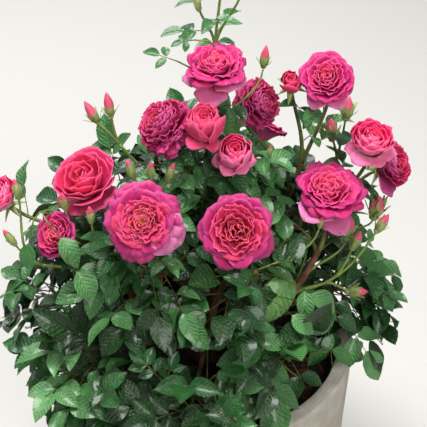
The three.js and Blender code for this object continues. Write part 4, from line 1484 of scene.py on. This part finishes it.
def petal_grid(flower, t, draw, hanging):
    """The points of one petal about the flower's axis, from its base to its tip. The outermost has
    t = 0 and the innermost t = 1."""
    cup = HANGING_CUP if hanging else flower.cup
    root, bend, tip = petal_line(flower, cup, t, draw, hanging)
    v = np.linspace(0, 1, PETAL_ROWS)[:, None]
    u = np.linspace(1, -1, PETAL_COLUMNS)[None, :]
    s = petal_rows(flower, cup, u, v, draw)
    line = [(1 - s) ** 2 * root[i] + 2 * s * (1 - s) * bend[i] + s * s * tip[i] for i in (0, 1)]
    slope = [2 * (1 - s) * (bend[i] - root[i]) + 2 * s * (tip[i] - bend[i]) for i in (0, 1)]
    length = np.sqrt(slope[0] ** 2 + slope[1] ** 2) + LEAST_SLOPE
    ruffle, curl = petal_relief(flower, cup, t, u, s, draw)
    out = line[0] - slope[1] / length * (ruffle - curl * RELIEF.inward)
    high = line[1] + slope[0] / length * (ruffle - curl)

    broad = mix((flower.broad, (1 + flower.broad) / 2), t)
    if hanging:
        broad = max(flower.broad, 1.0)
    swell = np.sin(math.pi / 2 * np.minimum(1, s / WIDTH.blade_from))
    blade = WIDTH.claw + WIDTH.blade * swell
    width = mix(WIDTH.width, t) * blade * mix(WIDTH.sizes, draw()) * broad * mix(WIDTH.closed, cup)
    wrap = np.maximum(out, WIDTH.least_wrap) * mix(WIDTH.wrap, t)
    angle = u * width / wrap
    x = out - wrap + wrap * np.cos(angle)
    y = wrap * np.sin(angle)
    yaw = (draw() - 0.5) * t * (WIDTH.open_yaw if flower.cup == 0 else WIDTH.yaw)
    middle = tip[0] * WIDTH.middle
    turned_x = middle + (x - middle) * math.cos(yaw) - y * math.sin(yaw)
    turned_y = (x - middle) * math.sin(yaw) + y * math.cos(yaw)
    return np.stack([turned_x, turned_y, high + 0 * x], axis=2) * (flower.across / 2)


def petal_places():
    """The map places of a petal's two sides."""
    v, u = np.meshgrid(np.linspace(0, 1, PETAL_ROWS), np.linspace(1, 0, PETAL_COLUMNS), indexing="ij")
    one = np.stack([u.ravel(), v.ravel()], axis=1)
    return np.concatenate([one, one])


def about(axis):
    """Rows that turn points about +Z into points about an axis."""
    side = unit(np.cross(OFF_AXIS, axis))
    return np.array([side, np.cross(axis, side), axis])


def spun(angle):
    """Rows that turn points round +Z."""
    cosine, sine = math.cos(angle), math.sin(angle)
    return np.array([[cosine, sine, 0], [-sine, cosine, 0], [0, 0, 1]])


def bloom(name, flower, seed, thickness):
    """One flower's petals, joined."""
    draw = seeded(seed)
    pile = Pile()
    places = petal_places()
    basis = about(facing(flower.face))
    for k in range(-flower.guards, flower.petals):
        hanging = k < 0
        t = (max(k, 0) / (flower.petals - 1)) ** WHORLS.crowding
        grid = petal_grid(flower, t, draw, hanging)
        more = max(0.0, WHORLS.open_below - flower.cup) * WHORLS.open_muddle * t
        angle = k * GOLDEN + (WHORLS.muddle + more) * (draw() - 0.5)
        slot = OUTER if t < WHORLS.middle else MIDDLE if t < WHORLS.heart else HEART
        if hanging:
            angle = GUARDS.first - (k + (flower.guards + 1) / 2) * GUARDS.apart
        toward_paler_side = math.cos(angle - PALER_SIDE.way) > PALER_SIDE.least
        on_paler_side = flower is FLOWERS[PALER_SIDE.flower] and t < PALER_SIDE.depth and toward_paler_side
        if hanging or on_paler_side:
            slot = HANGING_SLOT
        grid = grid @ spun(angle) @ basis + np.array(flower.place)
        points, upper, lower, ring = shell(grid, thickness)
        slots = np.full(len(upper) + len(lower) + len(ring), slot)
        slots[len(upper):2 * len(upper)] = HANGING_SLOT if hanging else BACK
        pile.add(points, upper + lower + ring, places, slots, flat=len(ring))
    return pile.to_object(name, DRESSES[flower.dress])


STAMENS = Values(
    count=34, spread=0.13, root_share=0.5, root_low=0.35, heights=(-0.02, 0.07), base=0.0003,
    tip=0.0010,
)


def stamens(name, flower, seed):
    """The yellow stamens in the heart of an open flower."""
    draw = seeded(seed)
    pile = Pile()
    basis = about(facing(flower.face))
    radius = flower.across / 2
    for k in range(STAMENS.count):
        out = STAMENS.spread * math.sqrt((k + 0.5) / STAMENS.count)
        way = np.array([math.cos(k * GOLDEN), math.sin(k * GOLDEN), 0.0])
        root = way * out * STAMENS.root_share * radius - UP * STAMENS.root_low * radius
        tip = way * out * radius + UP * mix(STAMENS.heights, draw()) * radius

        def stalk(t, root=root, tip=tip):
            return (root + (tip - root) * t) @ basis + np.array(flower.place)

        pile.add(*tube(stalk, STAMENS.base, STAMENS.tip, *DETAIL.stamen))
    return pile.to_object(name, ("stamen",))


# A hip's outline of radius and height in its own sizes, and its sides
HIP = Values(profile=((0.25, -1.2), (0.75, -0.85), (0.95, -0.3), (0.8, 0.15), (0.5, 0.35)), sides=8)
# A sepal in its hip's sizes. Of a pair, a value is drawn between the two or goes from closed to open.
SEPAL = Values(
    count=5, stray=0.4, length=(3.0, 4.2), out=0.8, lean=(0.25, 2.3), spread=(0.8, 1.1), steps=4,
    width=0.75, taper=1.3, tip_width=0.06, hollow=0.12, bend=0.25, straight_at=0.3, bend_scatter=0.12,
    thickness=0.06,
)


def hip_and_sepals(pile, place, axis, size, spread, draw):
    """A green hip and five sepals that leave it, spread from closed (0) to turned back (1)."""
    basis = about(axis)
    sides = HIP.sides
    angles = np.linspace(0, math.tau, sides + 1)[:-1]
    rings = [(radius * size * math.cos(angle), radius * size * math.sin(angle), height * size)
             for radius, height in HIP.profile for angle in angles]
    faces = ring_faces(len(HIP.profile), sides)
    pile.add(np.array(rings) @ basis + place, faces, np.zeros((len(rings), 2)))
    steps = SEPAL.steps
    for k in range(SEPAL.count):
        angle = math.tau * k / SEPAL.count + SEPAL.stray * draw()
        length = size * mix(SEPAL.length, draw())
        grid = np.zeros((steps + 1, 3, 3))
        out = size * SEPAL.out
        high = 0.0
        lean = mix(SEPAL.lean, spread * mix(SEPAL.spread, draw()))
        for i in range(steps + 1):
            wide = size * SEPAL.width * (1 - (i / steps) ** SEPAL.taper) + size * SEPAL.tip_width
            for j in range(3):
                grid[i, j] = (out - abs(j - 1) * SEPAL.hollow * size, (1 - j) * wide, high)
            out += math.sin(lean) * length / steps
            high += math.cos(lean) * length / steps
            lean += SEPAL.bend * (spread - SEPAL.straight_at) + SEPAL.bend_scatter * (draw() - 0.5)
        points, upper, lower, ring = shell(grid @ spun(angle) @ basis + place, size * SEPAL.thickness)
        pile.add(points, upper + lower + ring, np.zeros((len(points), 2)), 0, flat=len(ring))


BUD_SLOTS = ("sepal", "petal_bud", "green_stem")
GREEN, COLOURED, STEM = range(3)
# A bud in shares of its radius: its rings, its outline and how its petals wind round it
BUD = Values(
    slimmer=0.84, rings=9, sides=12, outline=(0.14, 0.84), outline_power=1.02, fullness=0.85, taper=0.2,
    winding=1.3, petals=3, petal_depth=0.08, height=4.9, below=1.6, map=(0.35, 0.55), hip_at=1.35,
    hip_size=0.62, spread=(0.02, 0.35), tight_below=0.5, tight_at=1.2, tight_size=0.72,
)


def bud(pile, place, axis, radius, ripe, draw, plump=1.0):
    """A pointed bud in its sepals. A ripe bud (1) shows more of its petals than a young one (0), and a
    plump one is thicker for its length."""
    radius *= BUD.slimmer
    rings, sides = BUD.rings, BUD.sides
    first, over = BUD.outline
    points = []
    places = []
    for i in range(rings):
        s = i / (rings - 1)
        swell = math.sin(math.pi * (first + over * s) ** BUD.outline_power) ** BUD.fullness
        girth = plump * radius * swell * (1 - BUD.taper * s)
        for j in range(sides):
            angle = math.tau * j / sides + BUD.winding * s
            fold = 1 + BUD.petal_depth * math.cos(BUD.petals * angle)
            high = radius * (BUD.height * s - BUD.below)
            points.append((girth * fold * math.cos(angle), girth * fold * math.sin(angle), high))
            places.append((j / sides, BUD.map[0] + BUD.map[1] * s))
    shown = int(mix((rings - 2.0, 1.0), min(1.0, ripe)))
    covered = [GREEN] * (shown * sides) + [COLOURED] * ((rings - 1 - shown) * sides)
    slots = np.array(covered + [GREEN, COLOURED])
    pile.add(np.array(points) @ about(axis) + place, ring_faces(rings, sides), np.array(places), slots)
    spread = BUD.spread[0] + BUD.spread[1] * ripe
    hip = place - axis * radius * BUD.hip_at
    hip_and_sepals(pile, hip, axis, plump * radius * BUD.hip_size, spread, draw)
    if ripe < BUD.tight_below:
        hip = place - axis * radius * BUD.tight_at
        hip_and_sepals(pile, hip, axis, plump * radius * BUD.tight_size, 0.0, draw)


# Small buds that stand alone, and how far the petals of a spray's buds show

SmallBud = namedtuple("SmallBud", "cane at tip radius ripe plump", defaults=(1.0,))
SMALL_BUDS = (
    SmallBud("left", 0.70, (-0.154, -0.060, 0.589), 0.0055, 0.3),
    SmallBud("left", 0.66, (-0.124, -0.080, 0.586), 0.0055, 0.2),
    SmallBud("middle", 0.96, (0.062, 0.040, 0.708), 0.0065, 0.5),
    SmallBud("middle", 0.70, (0.069, 0.000, 0.614), 0.0035, 0.1),
    SmallBud("right", 0.86, (0.193, 0.000, 0.534), 0.0070, 0.4, 1.6),
    SmallBud("right_front", 0.86, (0.160, -0.020, 0.520), 0.0068, 0.5, 1.45),
    SmallBud("front", 0.84, (0.123, -0.065, 0.565), 0.0040, 0.3),
)
SPRAY_RIPENESS = {"left": 0.75, "middle": 0.16, "far_left": 0.1, "right": 0.45, "low_right": 0.4}
PLUMP = {"right": 1.3, "low_right": 1.25}  # how much rounder than the others the buds of some sprays are


# Geometry nodes: prickles and bark chips


def new_geometry_tree(name, inputs):
    """A geometry tree with a geometry input and output, and named sizes."""
    sockets = [("Geometry", "NodeSocketGeometry", None)] + inputs
    return new_group(name, "GeometryNodeTree", sockets, [("Geometry", "NodeSocketGeometry")])


def finish_tree(tree, end, instances, finish):
    """Ends a tree with real geometry in one finish."""
    real = add_node(tree, "GeometryNodeRealizeInstances", {0: instances}).outputs[0]
    material = bpy.data.materials[finish]
    done = add_node(tree, "GeometryNodeSetMaterial", {"Geometry": real, "Material": material})
    tree.links.new(done.outputs[0], end.inputs[0])


def run_tree(source, tree, values, name):
    """The plain mesh object that a tree makes of a source, which is removed."""
    modifier = source.modifiers.new(tree.name, "NODES")
    modifier.node_group = tree
    for item in tree.interface.items_tree:
        if item.in_out == "INPUT" and item.name in values:
            modifier[item.identifier] = values[item.name]
    graph = bpy.context.evaluated_depsgraph_get()
    mesh = bpy.data.meshes.new_from_object(source.evaluated_get(graph))
    mesh.name = name
    bpy.data.objects.remove(source)
    mesh.polygons.foreach_set("use_smooth", np.ones(len(mesh.polygons), bool))
    return add_object(name, mesh)


def random_node(tree, seed, low, high, kind="FLOAT"):
    """The output of a value drawn for each instance."""
    first, second, drawn = (0, 1, 0) if kind == "FLOAT_VECTOR" else (2, 3, 1)
    values = {first: low, second: high, "Seed": seed}
    return add_node(tree, "FunctionNodeRandomValue", values, data_type=kind).outputs[drawn]


FULL_TURN = 6.283
PRICKLE = Values(
    sides=6, rings=2, width=0.22, lean=98, sizes=(0.6, 1.2), sunk=0.88, along=(0.12, 0.97),
    limb_points=24,
)
CHIP = Values(flat=(1.0, 0.55, 0.25), tilt=0.4, sizes=(0.4, 1.2), roundness=2)


def prickle_tree():
    """Prickles at even steps along limbs, each turned round the limb at random."""
    inputs = [
        ("Spacing", "NodeSocketFloat", 0.012),
        ("Length", "NodeSocketFloat", 0.005),
        ("Seed", "NodeSocketInt", 3),
    ]
    tree, start, end = new_geometry_tree("prickles along limbs", inputs)
    steps = {"Curve": start.outputs["Geometry"], "Length": start.outputs["Spacing"]}
    along = add_node(tree, "GeometryNodeCurveToPoints", steps, mode="LENGTH")
    cone = add_node(tree, "GeometryNodeMeshCone", {
        "Vertices": PRICKLE.sides,
        "Side Segments": PRICKLE.rings,
        "Radius Bottom": PRICKLE.width,
        "Radius Top": 0.0,
        "Depth": 1.0,
    })
    leaned = {"Geometry": cone.outputs["Mesh"], "Rotation": (0.0, math.radians(PRICKLE.lean), 0.0)}
    prickle = add_node(tree, "GeometryNodeTransform", leaned).outputs[0]
    spin = random_node(tree, start.outputs["Seed"], 0.0, FULL_TURN)
    turn = add_node(tree, "FunctionNodeAxisAngleToRotation", {"Axis": (0.0, 0.0, 1.0), "Angle": spin})
    both = {0: along.outputs["Rotation"], 1: turn.outputs[0]}
    rotated = add_node(tree, "FunctionNodeRotateRotation", both, rotation_space="LOCAL").outputs[0]
    size = random_node(tree, start.outputs["Seed"], *PRICKLE.sizes)
    scale = math_node(tree, "MULTIPLY", size, start.outputs["Length"])
    placed = add_node(tree, "GeometryNodeInstanceOnPoints", {
        "Points": along.outputs["Points"],
        "Instance": prickle,
        "Rotation": rotated,
        "Scale": scale,
    })
    radius = add_node(tree, "GeometryNodeInputRadius").outputs[0]
    outward = math_node(tree, "DIVIDE", math_node(tree, "MULTIPLY", radius, PRICKLE.sunk), scale)
    moved = add_node(tree, "GeometryNodeTranslateInstances", {
        "Instances": placed.outputs[0],
        "Translation": combined(tree, X=outward),
        "Local Space": True,
    })
    finish_tree(tree, end, moved.outputs[0], "prickle")
    return tree


def chip_tree():
    """Bark chips strewn over a surface, each turned and sized at random."""
    inputs = [
        ("Density", "NodeSocketFloat", 3000.0),
        ("Length", "NodeSocketFloat", 0.012),
        ("Seed", "NodeSocketInt", 5),
    ]
    tree, start, end = new_geometry_tree("chips on soil", inputs)
    seed = start.outputs["Seed"]
    strewn = add_node(tree, "GeometryNodeDistributePointsOnFaces", {
        "Mesh": start.outputs["Geometry"],
        "Density": start.outputs["Density"],
        "Seed": seed,
    })
    chip = add_node(tree, "GeometryNodeMeshIcoSphere", {"Radius": 0.5, "Subdivisions": CHIP.roundness})
    flat = add_node(tree, "GeometryNodeTransform", {"Geometry": chip.outputs[0], "Scale": CHIP.flat})
    tilt = CHIP.tilt
    spin = random_node(tree, seed, (-tilt, -tilt, 0.0), (tilt, tilt, FULL_TURN), "FLOAT_VECTOR")
    smallest, largest = ((size, size, size) for size in CHIP.sizes)
    size = random_node(tree, seed, smallest, largest, "FLOAT_VECTOR")
    placed = add_node(tree, "GeometryNodeInstanceOnPoints", {
        "Points": strewn.outputs["Points"],
        "Instance": flat.outputs[0],
        "Rotation": spin,
        "Scale": vector_node(tree, "SCALE", {0: size, "Scale": start.outputs["Length"]}),
    })
    finish_tree(tree, end, placed.outputs[0], "bark_chip")
    return tree


# Pieces


def settle(piece, slot, *nodes):
    """Puts a finished piece under its body and hides the solids that it stands for. The slot is not used."""
    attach(piece, "root")
    if nodes:
        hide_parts(*nodes)


def limb_source(limbs):
    """A curve object along limbs, whose points carry the limbs' thickness."""
    data = bpy.data.curves.new("limbs", "CURVE")
    data.dimensions = "3D"
    last = PRICKLE.limb_points - 1
    for curve, size, _ in limbs:
        spline = data.splines.new("POLY")
        spline.points.add(last)
        for k, point in enumerate(spline.points):
            share = mix(PRICKLE.along, k / last)
            point.co = (*curve(share), 1.0)
            point.radius = mix((size.base, size.tip), share)
    return add_object("limbs", data)


CHIP_GROUND = Values(inner=1.3, rise=0.001)  # in radii of the foot, and over the soil's surface


def make_pot(sizes):
    """The round stone pot."""
    pile = Pile()
    pile.add(*lathe(pot_profile(sizes.rim_rounding), LATHE.pot, pot_relief))
    settle(pile.to_object("stone_pot", ("weathered_stone",)), "pot_stone", "pot")


def make_soil(sizes):
    """The potting mix, and the bark chips that lie on it."""
    pile = Pile()
    pile.add(*lathe(soil_profile(), LATHE.soil, soil_relief))
    settle(pile.to_object("potting_mix", ("potting_mix",)), "compost", "soil")
    ring = Pile()
    inner = FOOT.base * CHIP_GROUND.inner
    edge = POT.rim_radius - POT.wall - sizes.chip_length
    profile = [(inner, SURFACE + SOIL.crowning), (edge, SURFACE + CHIP_GROUND.rise)]
    points, faces, places = lathe(profile, LATHE.chip_ground)
    ring.add(points, faces[:-2], places)
    values = {"Length": sizes.chip_length, "Density": float(sizes.chips_per_square_metre)}
    chips = run_tree(ring.to_object("chip_ground", ("bark_chip",)), chip_tree(), values, "bark_chips")
    settle(chips, "compost")


def make_canes(sizes):
    """The foot, the canes and their boughs in bark, and the prickles on them."""
    pile = Pile()
    pile.add(*foot_points(*DETAIL.foot))
    limbs = [(curve, CANE, DETAIL.cane) for curve in CANE_CURVES.values()]
    limbs += [(curve, BOUGH, DETAIL.bough) for curve in BOUGH_CURVES.values()]
    for seed, (curve, size, detail) in enumerate(limbs):
        pile.add(*tube(curve, size.base, size.tip, *detail, bark_relief(seed, sizes.bark_depth)))
    nodes = ["foot"] + ["cane_" + name for name in CANES] + ["bough_" + name for name in BOUGHS]
    settle(pile.to_object("woody_canes", ("old_bark",)), "bark", *nodes)
    values = {"Spacing": sizes.prickle_spacing, "Length": sizes.prickle_length}
    settle(run_tree(limb_source(limbs), prickle_tree(), values, "prickles"), "bark")


def make_leaves():
    """The masses of leaves, one piece each, and their twigs in one more."""
    twigs = Pile()
    for index, name in enumerate(MASSES):
        foliage = grow_mass(name, index, twigs)
        settle(foliage.blades.to_object("leaves_" + name, LEAF_SLOTS), "foliage", "mass_" + name)
    settle(twigs.to_object("twigs", ("young_bark",)), "bark")


def make_blooms(sizes):
    """The flowers, one piece each."""
    for index, (name, flower) in enumerate({**FLOWERS, **CLOSED}.items()):
        slot = "faded_petals" if flower.dress == "faded" else "petals"
        nodes = ("flower_" + name,) if name in FLOWERS else ()
        petals = bloom("bloom_" + name, flower, SEEDS.blooms + index, sizes.petal_thickness)
        settle(petals, slot, *nodes)
    settle(stamens("stamens", FLOWERS["great"], SEEDS.stamens), "petals")


SHOOT_HIP = Values(above=0.005, size=0.0048, spread=0.85)
SHOOT_LEAVES = Values(leaflets=(5, 5, 3), along=(0.35, 0.82), lean=1.0, sizes=(0.052, 0.072), slots=2.4)
LONE_STEM = Values(base=0.0015, tip=0.0010)
LONE_FACING = 0.7  # how far a leaf that shows by itself turns from looking up to the camera


def make_shoots():
    """The green shoots under the flowers, with their hips, their sepals and a few small leaves."""
    stems = Pile()
    foliage = Foliage(SEEDS.shoots, stems, stalk_slot=1)
    draw = foliage.draw
    for flower in (*FLOWERS.values(), *CLOSED.values()):
        curve = shoot_curve(flower)
        axis = facing(flower.face)
        stems.add(*tube(curve, SHOOT.base, SHOOT.tip, *DETAIL.shoot), slot=1)
        hip = hip_of(flower) + axis * SHOOT_HIP.above
        hip_and_sepals(stems, hip, axis, SHOOT_HIP.size, SHOOT_HIP.spread, draw)
        turn = draw() * ANY_TURN
        for k, leaflets in enumerate(SHOOT_LEAVES.leaflets):
            up = mix(SHOOT_LEAVES.along, k / 2)
            along = leaning(tangent(curve, up), SHOOT_LEAVES.lean, turn + k * GOLDEN)
            slot = 1 + int(draw() * SHOOT_LEAVES.slots)
            size = mix(SHOOT_LEAVES.sizes, draw())
            foliage.leaf(curve(up), along, light_side(curve(up)), size, leaflets, slot)
    foliage.keep_open = False
    for lone in LONE_LEAVES:
        start, leaving = seat_on(CANE_CURVES[lone.cane], lone.at)
        root, tip = np.array(lone.root), np.array(lone.tip)
        along = unit(tip - root)
        stem = stem_curve(start, leaving, root, along)
        stems.add(*tube(stem, LONE_STEM.base, LONE_STEM.tip, *DETAIL.lone_stem), slot=1)
        face = unit(UP + unit(np.array(VIEW.place) - root) * LONE_FACING)
        foliage.leaf(root, along, face, np.linalg.norm(tip - root), lone.leaflets, lone.slot)
    settle(stems.to_object("flower_shoots", ("sepal", "young_stem")), "foliage")
    settle(foliage.blades.to_object("shoot_leaves", LEAF_SLOTS), "foliage")


RIPENESS = (0.7, 1.2)  # the ends between which the buds of one spray differ
SMALL_BUD_STEM = Values(base=0.0016, tip=0.0011, outward=0.25, under=2)


def make_buds():
    """The sprays of buds, one piece each, and the small buds that stand alone."""
    for index, (name, spray) in enumerate(SPRAYS.items()):
        draw = seeded(SEEDS.sprays + index)
        pile = Pile()
        curves = spray_curves(spray)
        pile.add(*tube(curves[0], SHOOT.base, BUD_STEM.base, *DETAIL.spray), slot=STEM)
        for curve, tip in zip(curves[1:], spray.tips):
            pile.add(*tube(curve, BUD_STEM.base, BUD_STEM.tip, *DETAIL.bud_stem), slot=STEM)
            axis = pointing_of(spray, tip)
            ripe = SPRAY_RIPENESS[name] * mix(RIPENESS, draw())
            bud(pile, np.array(tip), axis, spray.bud, ripe, draw, PLUMP.get(name, 1.0))
        settle(pile.to_object("rosebuds_" + name, BUD_SLOTS), "buds", "buds_" + name)
    pile = Pile()
    draw = seeded(SEEDS.small_buds)
    size = SMALL_BUD_STEM
    for lone in SMALL_BUDS:
        start, leaving = seat_on(CANE_CURVES[lone.cane], lone.at)
        tip = np.array(lone.tip)
        axis = unit(UP + size.outward * unit(tip - start))
        stem = stem_curve(start, leaving, tip - axis * lone.radius * size.under, axis)
        pile.add(*tube(stem, size.base, size.tip, *DETAIL.small_bud_stem), slot=STEM)
        bud(pile, tip, axis, lone.radius, lone.ripe, draw, lone.plump)
    settle(pile.to_object("small_rosebuds", BUD_SLOTS), "buds")


LEADER_RIPENESS = 0.1
LEADER_LEAVES = Values(count=5, length=0.0546, lean=1.05, along=(0.05, 0.75), tilt=0.2)


def make_leader():
    """The tall young shoot at the top, with its buds and narrow leaves."""
    stems = Pile()
    draw = seeded(SEEDS.leader)
    curves = spray_curves(LEADER)
    stems.add(*tube(curves[0], SHOOT.base, BUD_STEM.base, *DETAIL.spray), slot=STEM)
    for curve, tip in zip(curves[1:], LEADER.tips):
        stems.add(*tube(curve, BUD_STEM.base, BUD_STEM.tip, *DETAIL.leader_stem), slot=STEM)
        bud(stems, np.array(tip), pointing_of(LEADER, tip), LEADER.bud, LEADER_RIPENESS, draw)
    foliage = Foliage(SEEDS.leader_leaves, stems, stalk_slot=STEM)
    for k in range(LEADER_LEAVES.count):
        up = mix(LEADER_LEAVES.along, k / (LEADER_LEAVES.count - 1))
        along = leaning(tangent(curves[1], up), LEADER_LEAVES.lean, k * GOLDEN)
        face = unit(UP + along * LEADER_LEAVES.tilt)
        foliage.leaf(curves[1](up), along, face, LEADER_LEAVES.length, 3, 2)
    settle(stems.to_object("leading_shoot", BUD_SLOTS), "buds", "leader")
    settle(foliage.blades.to_object("leading_leaves", LEAF_SLOTS), "foliage")


# The stage: a floor, the camera, soft lights that look at the middle of the bush, and the sky, which
# lights the bush less brightly than the camera sees it

STAGE = Values(
    floor="c6c4bf", floor_roughness=0.8, floor_half=30.0, aim=0.45, sky=(0.94, 0.97, 1.0, 1.0),
    sky_light=0.14, sky_seen=0.72,
)
Light = namedtuple("Light", "place size power colour")
LIGHTS = {
    "sky": Light((-0.35, 0.2, 3.6), 1.6, 146.0, (1.0, 1.0, 1.0)),
    "front": Light((0.8, -1.8, 2.2), 1.2, 38.0, (1.0, 0.985, 0.96)),
    "rear": Light((-0.9, 1.7, 1.9), 0.9, 26.0, (0.97, 0.985, 1.0)),
}


def make_camera():
    """The camera at the photograph's height and angle."""
    data = bpy.data.cameras.new("camera")
    data.lens = VIEW.lens
    data.sensor_width = VIEW.sensor
    camera = add_object("camera", data)
    camera.location = VIEW.place
    camera.rotation_euler = (math.radians(90 - VIEW.down), 0.0, 0.0)
    bpy.context.scene.camera = camera


def make_light(name, look):
    """A soft area light that looks at the middle of the bush."""
    data = bpy.data.lights.new(name, "AREA")
    data.size = look.size
    data.energy = look.power
    data.color = look.colour
    light = add_object(name, data)
    light.location = look.place
    away = Vector(look.place) - Vector((0, 0, STAGE.aim))
    light.rotation_euler = away.to_track_quat("Z", "Y").to_euler()


def make_stage():
    """A plain pale floor, soft light and the camera."""
    floor = Pile()
    half = STAGE.floor_half
    points = np.array([(-half, -half, 0), (half, -half, 0), (half, half, 0), (-half, half, 0)])
    floor.add(points, [(0, 1, 2, 3)], points[:, :2])
    new_finish("floor", paint(STAGE.floor), STAGE.floor_roughness)
    floor.to_object("floor", ("floor",))
    for name, look in LIGHTS.items():
        make_light(name, look)
    world = bpy.data.worlds.new("studio")
    world.use_nodes = True
    tree = world.node_tree
    backdrop = tree.nodes["Background"]
    backdrop.inputs["Color"].default_value = STAGE.sky
    seen = add_node(tree, "ShaderNodeLightPath").outputs["Is Camera Ray"]
    strength = ranged(tree, seen, 0.0, 1.0, STAGE.sky_light, STAGE.sky_seen)
    tree.links.new(strength, backdrop.inputs["Strength"])
    bpy.context.scene.world = world
    bpy.context.scene.view_settings.view_transform = "Standard"
    make_camera()


# The add-on


def length(name, description, default, low, high):
    """A length that a maker may change."""
    return FloatProperty(name=name, description=description, default=default, min=low, max=high,
                         subtype="DISTANCE", unit="LENGTH")


def tint_over(name, description):
    """A tint that a maker may lay over a colour."""
    return FloatVectorProperty(name=name, description=description, default=EVEN, min=0.0, max=1.0, size=3,
                               subtype="COLOR")


class RoseBushSizes(PropertyGroup):
    """The sizes that a maker would change."""

    rim_rounding: length("Rim rounding", "Radius worn onto the pot's edges", 0.003, 0.0005, 0.006)
    chip_length: length("Chip length", "Length of a bark chip on the soil", 0.012, 0.004, 0.03)
    chips_per_square_metre: IntProperty(
        name="Chips", description="Bark chips on a square metre of soil", default=12000, min=0, max=30000)
    bark_depth: FloatProperty(
        name="Bark depth", description="Depth of the bark's ridges as a share of a limb's radius",
        default=0.14, min=0.0, max=0.4, subtype="FACTOR")
    prickle_length: length("Prickle length", "Length of a prickle", 0.005, 0.001, 0.01)
    prickle_spacing: length(
        "Prickle spacing", "Run of cane from one prickle to the next", 0.016, 0.004, 0.1)
    petal_thickness: length("Petal thickness", "Thickness of a petal", 0.0005, 0.0002, 0.001)


class RoseBushTints(PropertyGroup):
    """Tints over the colours of the bush. White leaves a colour as it is."""

    petals: tint_over("Petals", "Tint over every petal")
    leaves: tint_over("Leaves", "Tint over every leaf")
    stone: tint_over("Stone", "Tint over the stone of the pot")


class ROSEBUSH_OT_finishes(Operator):
    """Makes the materials of the stone, the bark, the leaves and the petals"""

    bl_idname = "rose_bush.finishes"
    bl_label = "Make finishes"

    def execute(self, context):
        make_finishes(context.scene.rose_bush_tints)
        return {"FINISHED"}


class ROSEBUSH_OT_pot(Operator):
    """Turns the round stone pot"""

    bl_idname = "rose_bush.pot"
    bl_label = "Make pot"

    def execute(self, context):
        make_pot(context.scene.rose_bush)
        return {"FINISHED"}


class ROSEBUSH_OT_soil(Operator):
    """Fills the pot with potting mix and strews bark chips on it"""

    bl_idname = "rose_bush.soil"
    bl_label = "Make soil"

    def execute(self, context):
        make_soil(context.scene.rose_bush)
        return {"FINISHED"}


class ROSEBUSH_OT_canes(Operator):
    """Grows the foot, the canes and the boughs, with their prickles"""

    bl_idname = "rose_bush.canes"
    bl_label = "Make canes"

    def execute(self, context):
        make_canes(context.scene.rose_bush)
        return {"FINISHED"}


class ROSEBUSH_OT_leaves(Operator):
    """Grows the masses of leaves on their twigs"""

    bl_idname = "rose_bush.leaves"
    bl_label = "Make leaves"

    def execute(self, context):
        make_leaves()
        return {"FINISHED"}


class ROSEBUSH_OT_blooms(Operator):
    """Opens the flowers, petal by petal"""

    bl_idname = "rose_bush.blooms"
    bl_label = "Make blooms"

    def execute(self, context):
        make_blooms(context.scene.rose_bush)
        return {"FINISHED"}


class ROSEBUSH_OT_shoots(Operator):
    """Grows the shoots, hips and sepals under the flowers"""

    bl_idname = "rose_bush.shoots"
    bl_label = "Make flower shoots"

    def execute(self, context):
        make_shoots()
        return {"FINISHED"}


class ROSEBUSH_OT_buds(Operator):
    """Grows the sprays of buds and the buds that stand alone"""

    bl_idname = "rose_bush.buds"
    bl_label = "Make buds"

    def execute(self, context):
        make_buds()
        return {"FINISHED"}


class ROSEBUSH_OT_leader(Operator):
    """Grows the tall young shoot at the top"""

    bl_idname = "rose_bush.leader"
    bl_label = "Make leading shoot"

    def execute(self, context):
        make_leader()
        return {"FINISHED"}


class ROSEBUSH_OT_stage(Operator):
    """Sets the floor, the lights and the camera"""

    bl_idname = "rose_bush.stage"
    bl_label = "Make stage"

    def execute(self, context):
        make_stage()
        return {"FINISHED"}


class ROSEBUSH_PT_maker(Panel):
    """The sizes of the bush, and the steps that make it"""

    bl_label = "Rose bush in a pot"
    bl_space_type = "VIEW_3D"
    bl_region_type = "UI"
    bl_category = "Rose bush"

    def draw(self, context):
        for group in (context.scene.rose_bush, context.scene.rose_bush_tints):
            for label in group.__annotations__:
                self.layout.prop(group, label)
        for maker in STEPS:
            self.layout.operator(maker.bl_idname)


STEPS = (
    ROSEBUSH_OT_finishes,
    ROSEBUSH_OT_pot,
    ROSEBUSH_OT_soil,
    ROSEBUSH_OT_canes,
    ROSEBUSH_OT_leaves,
    ROSEBUSH_OT_blooms,
    ROSEBUSH_OT_shoots,
    ROSEBUSH_OT_buds,
    ROSEBUSH_OT_leader,
    ROSEBUSH_OT_stage,
)
CLASSES = (RoseBushSizes, RoseBushTints, *STEPS, ROSEBUSH_PT_maker)


def register():
    """Adds the sizes, the steps and the panel."""
    for kind in CLASSES:
        bpy.utils.register_class(kind)
    bpy.types.Scene.rose_bush = PointerProperty(type=RoseBushSizes)
    bpy.types.Scene.rose_bush_tints = PointerProperty(type=RoseBushTints)


def unregister():
    """Takes them away again."""
    del bpy.types.Scene.rose_bush_tints
    del bpy.types.Scene.rose_bush
    for kind in reversed(CLASSES):
        bpy.utils.unregister_class(kind)


def main():
    """Makes the bush step by step."""
    register()
    bpy.ops.rose_bush.finishes()
    bpy.ops.rose_bush.pot()
    bpy.ops.rose_bush.soil()
    bpy.ops.rose_bush.canes()
    bpy.ops.rose_bush.leaves()
    bpy.ops.rose_bush.blooms()
    bpy.ops.rose_bush.shoots()
    bpy.ops.rose_bush.buds()
    bpy.ops.rose_bush.leader()
    bpy.ops.rose_bush.stage()


if __name__ == "__main__":
    main()
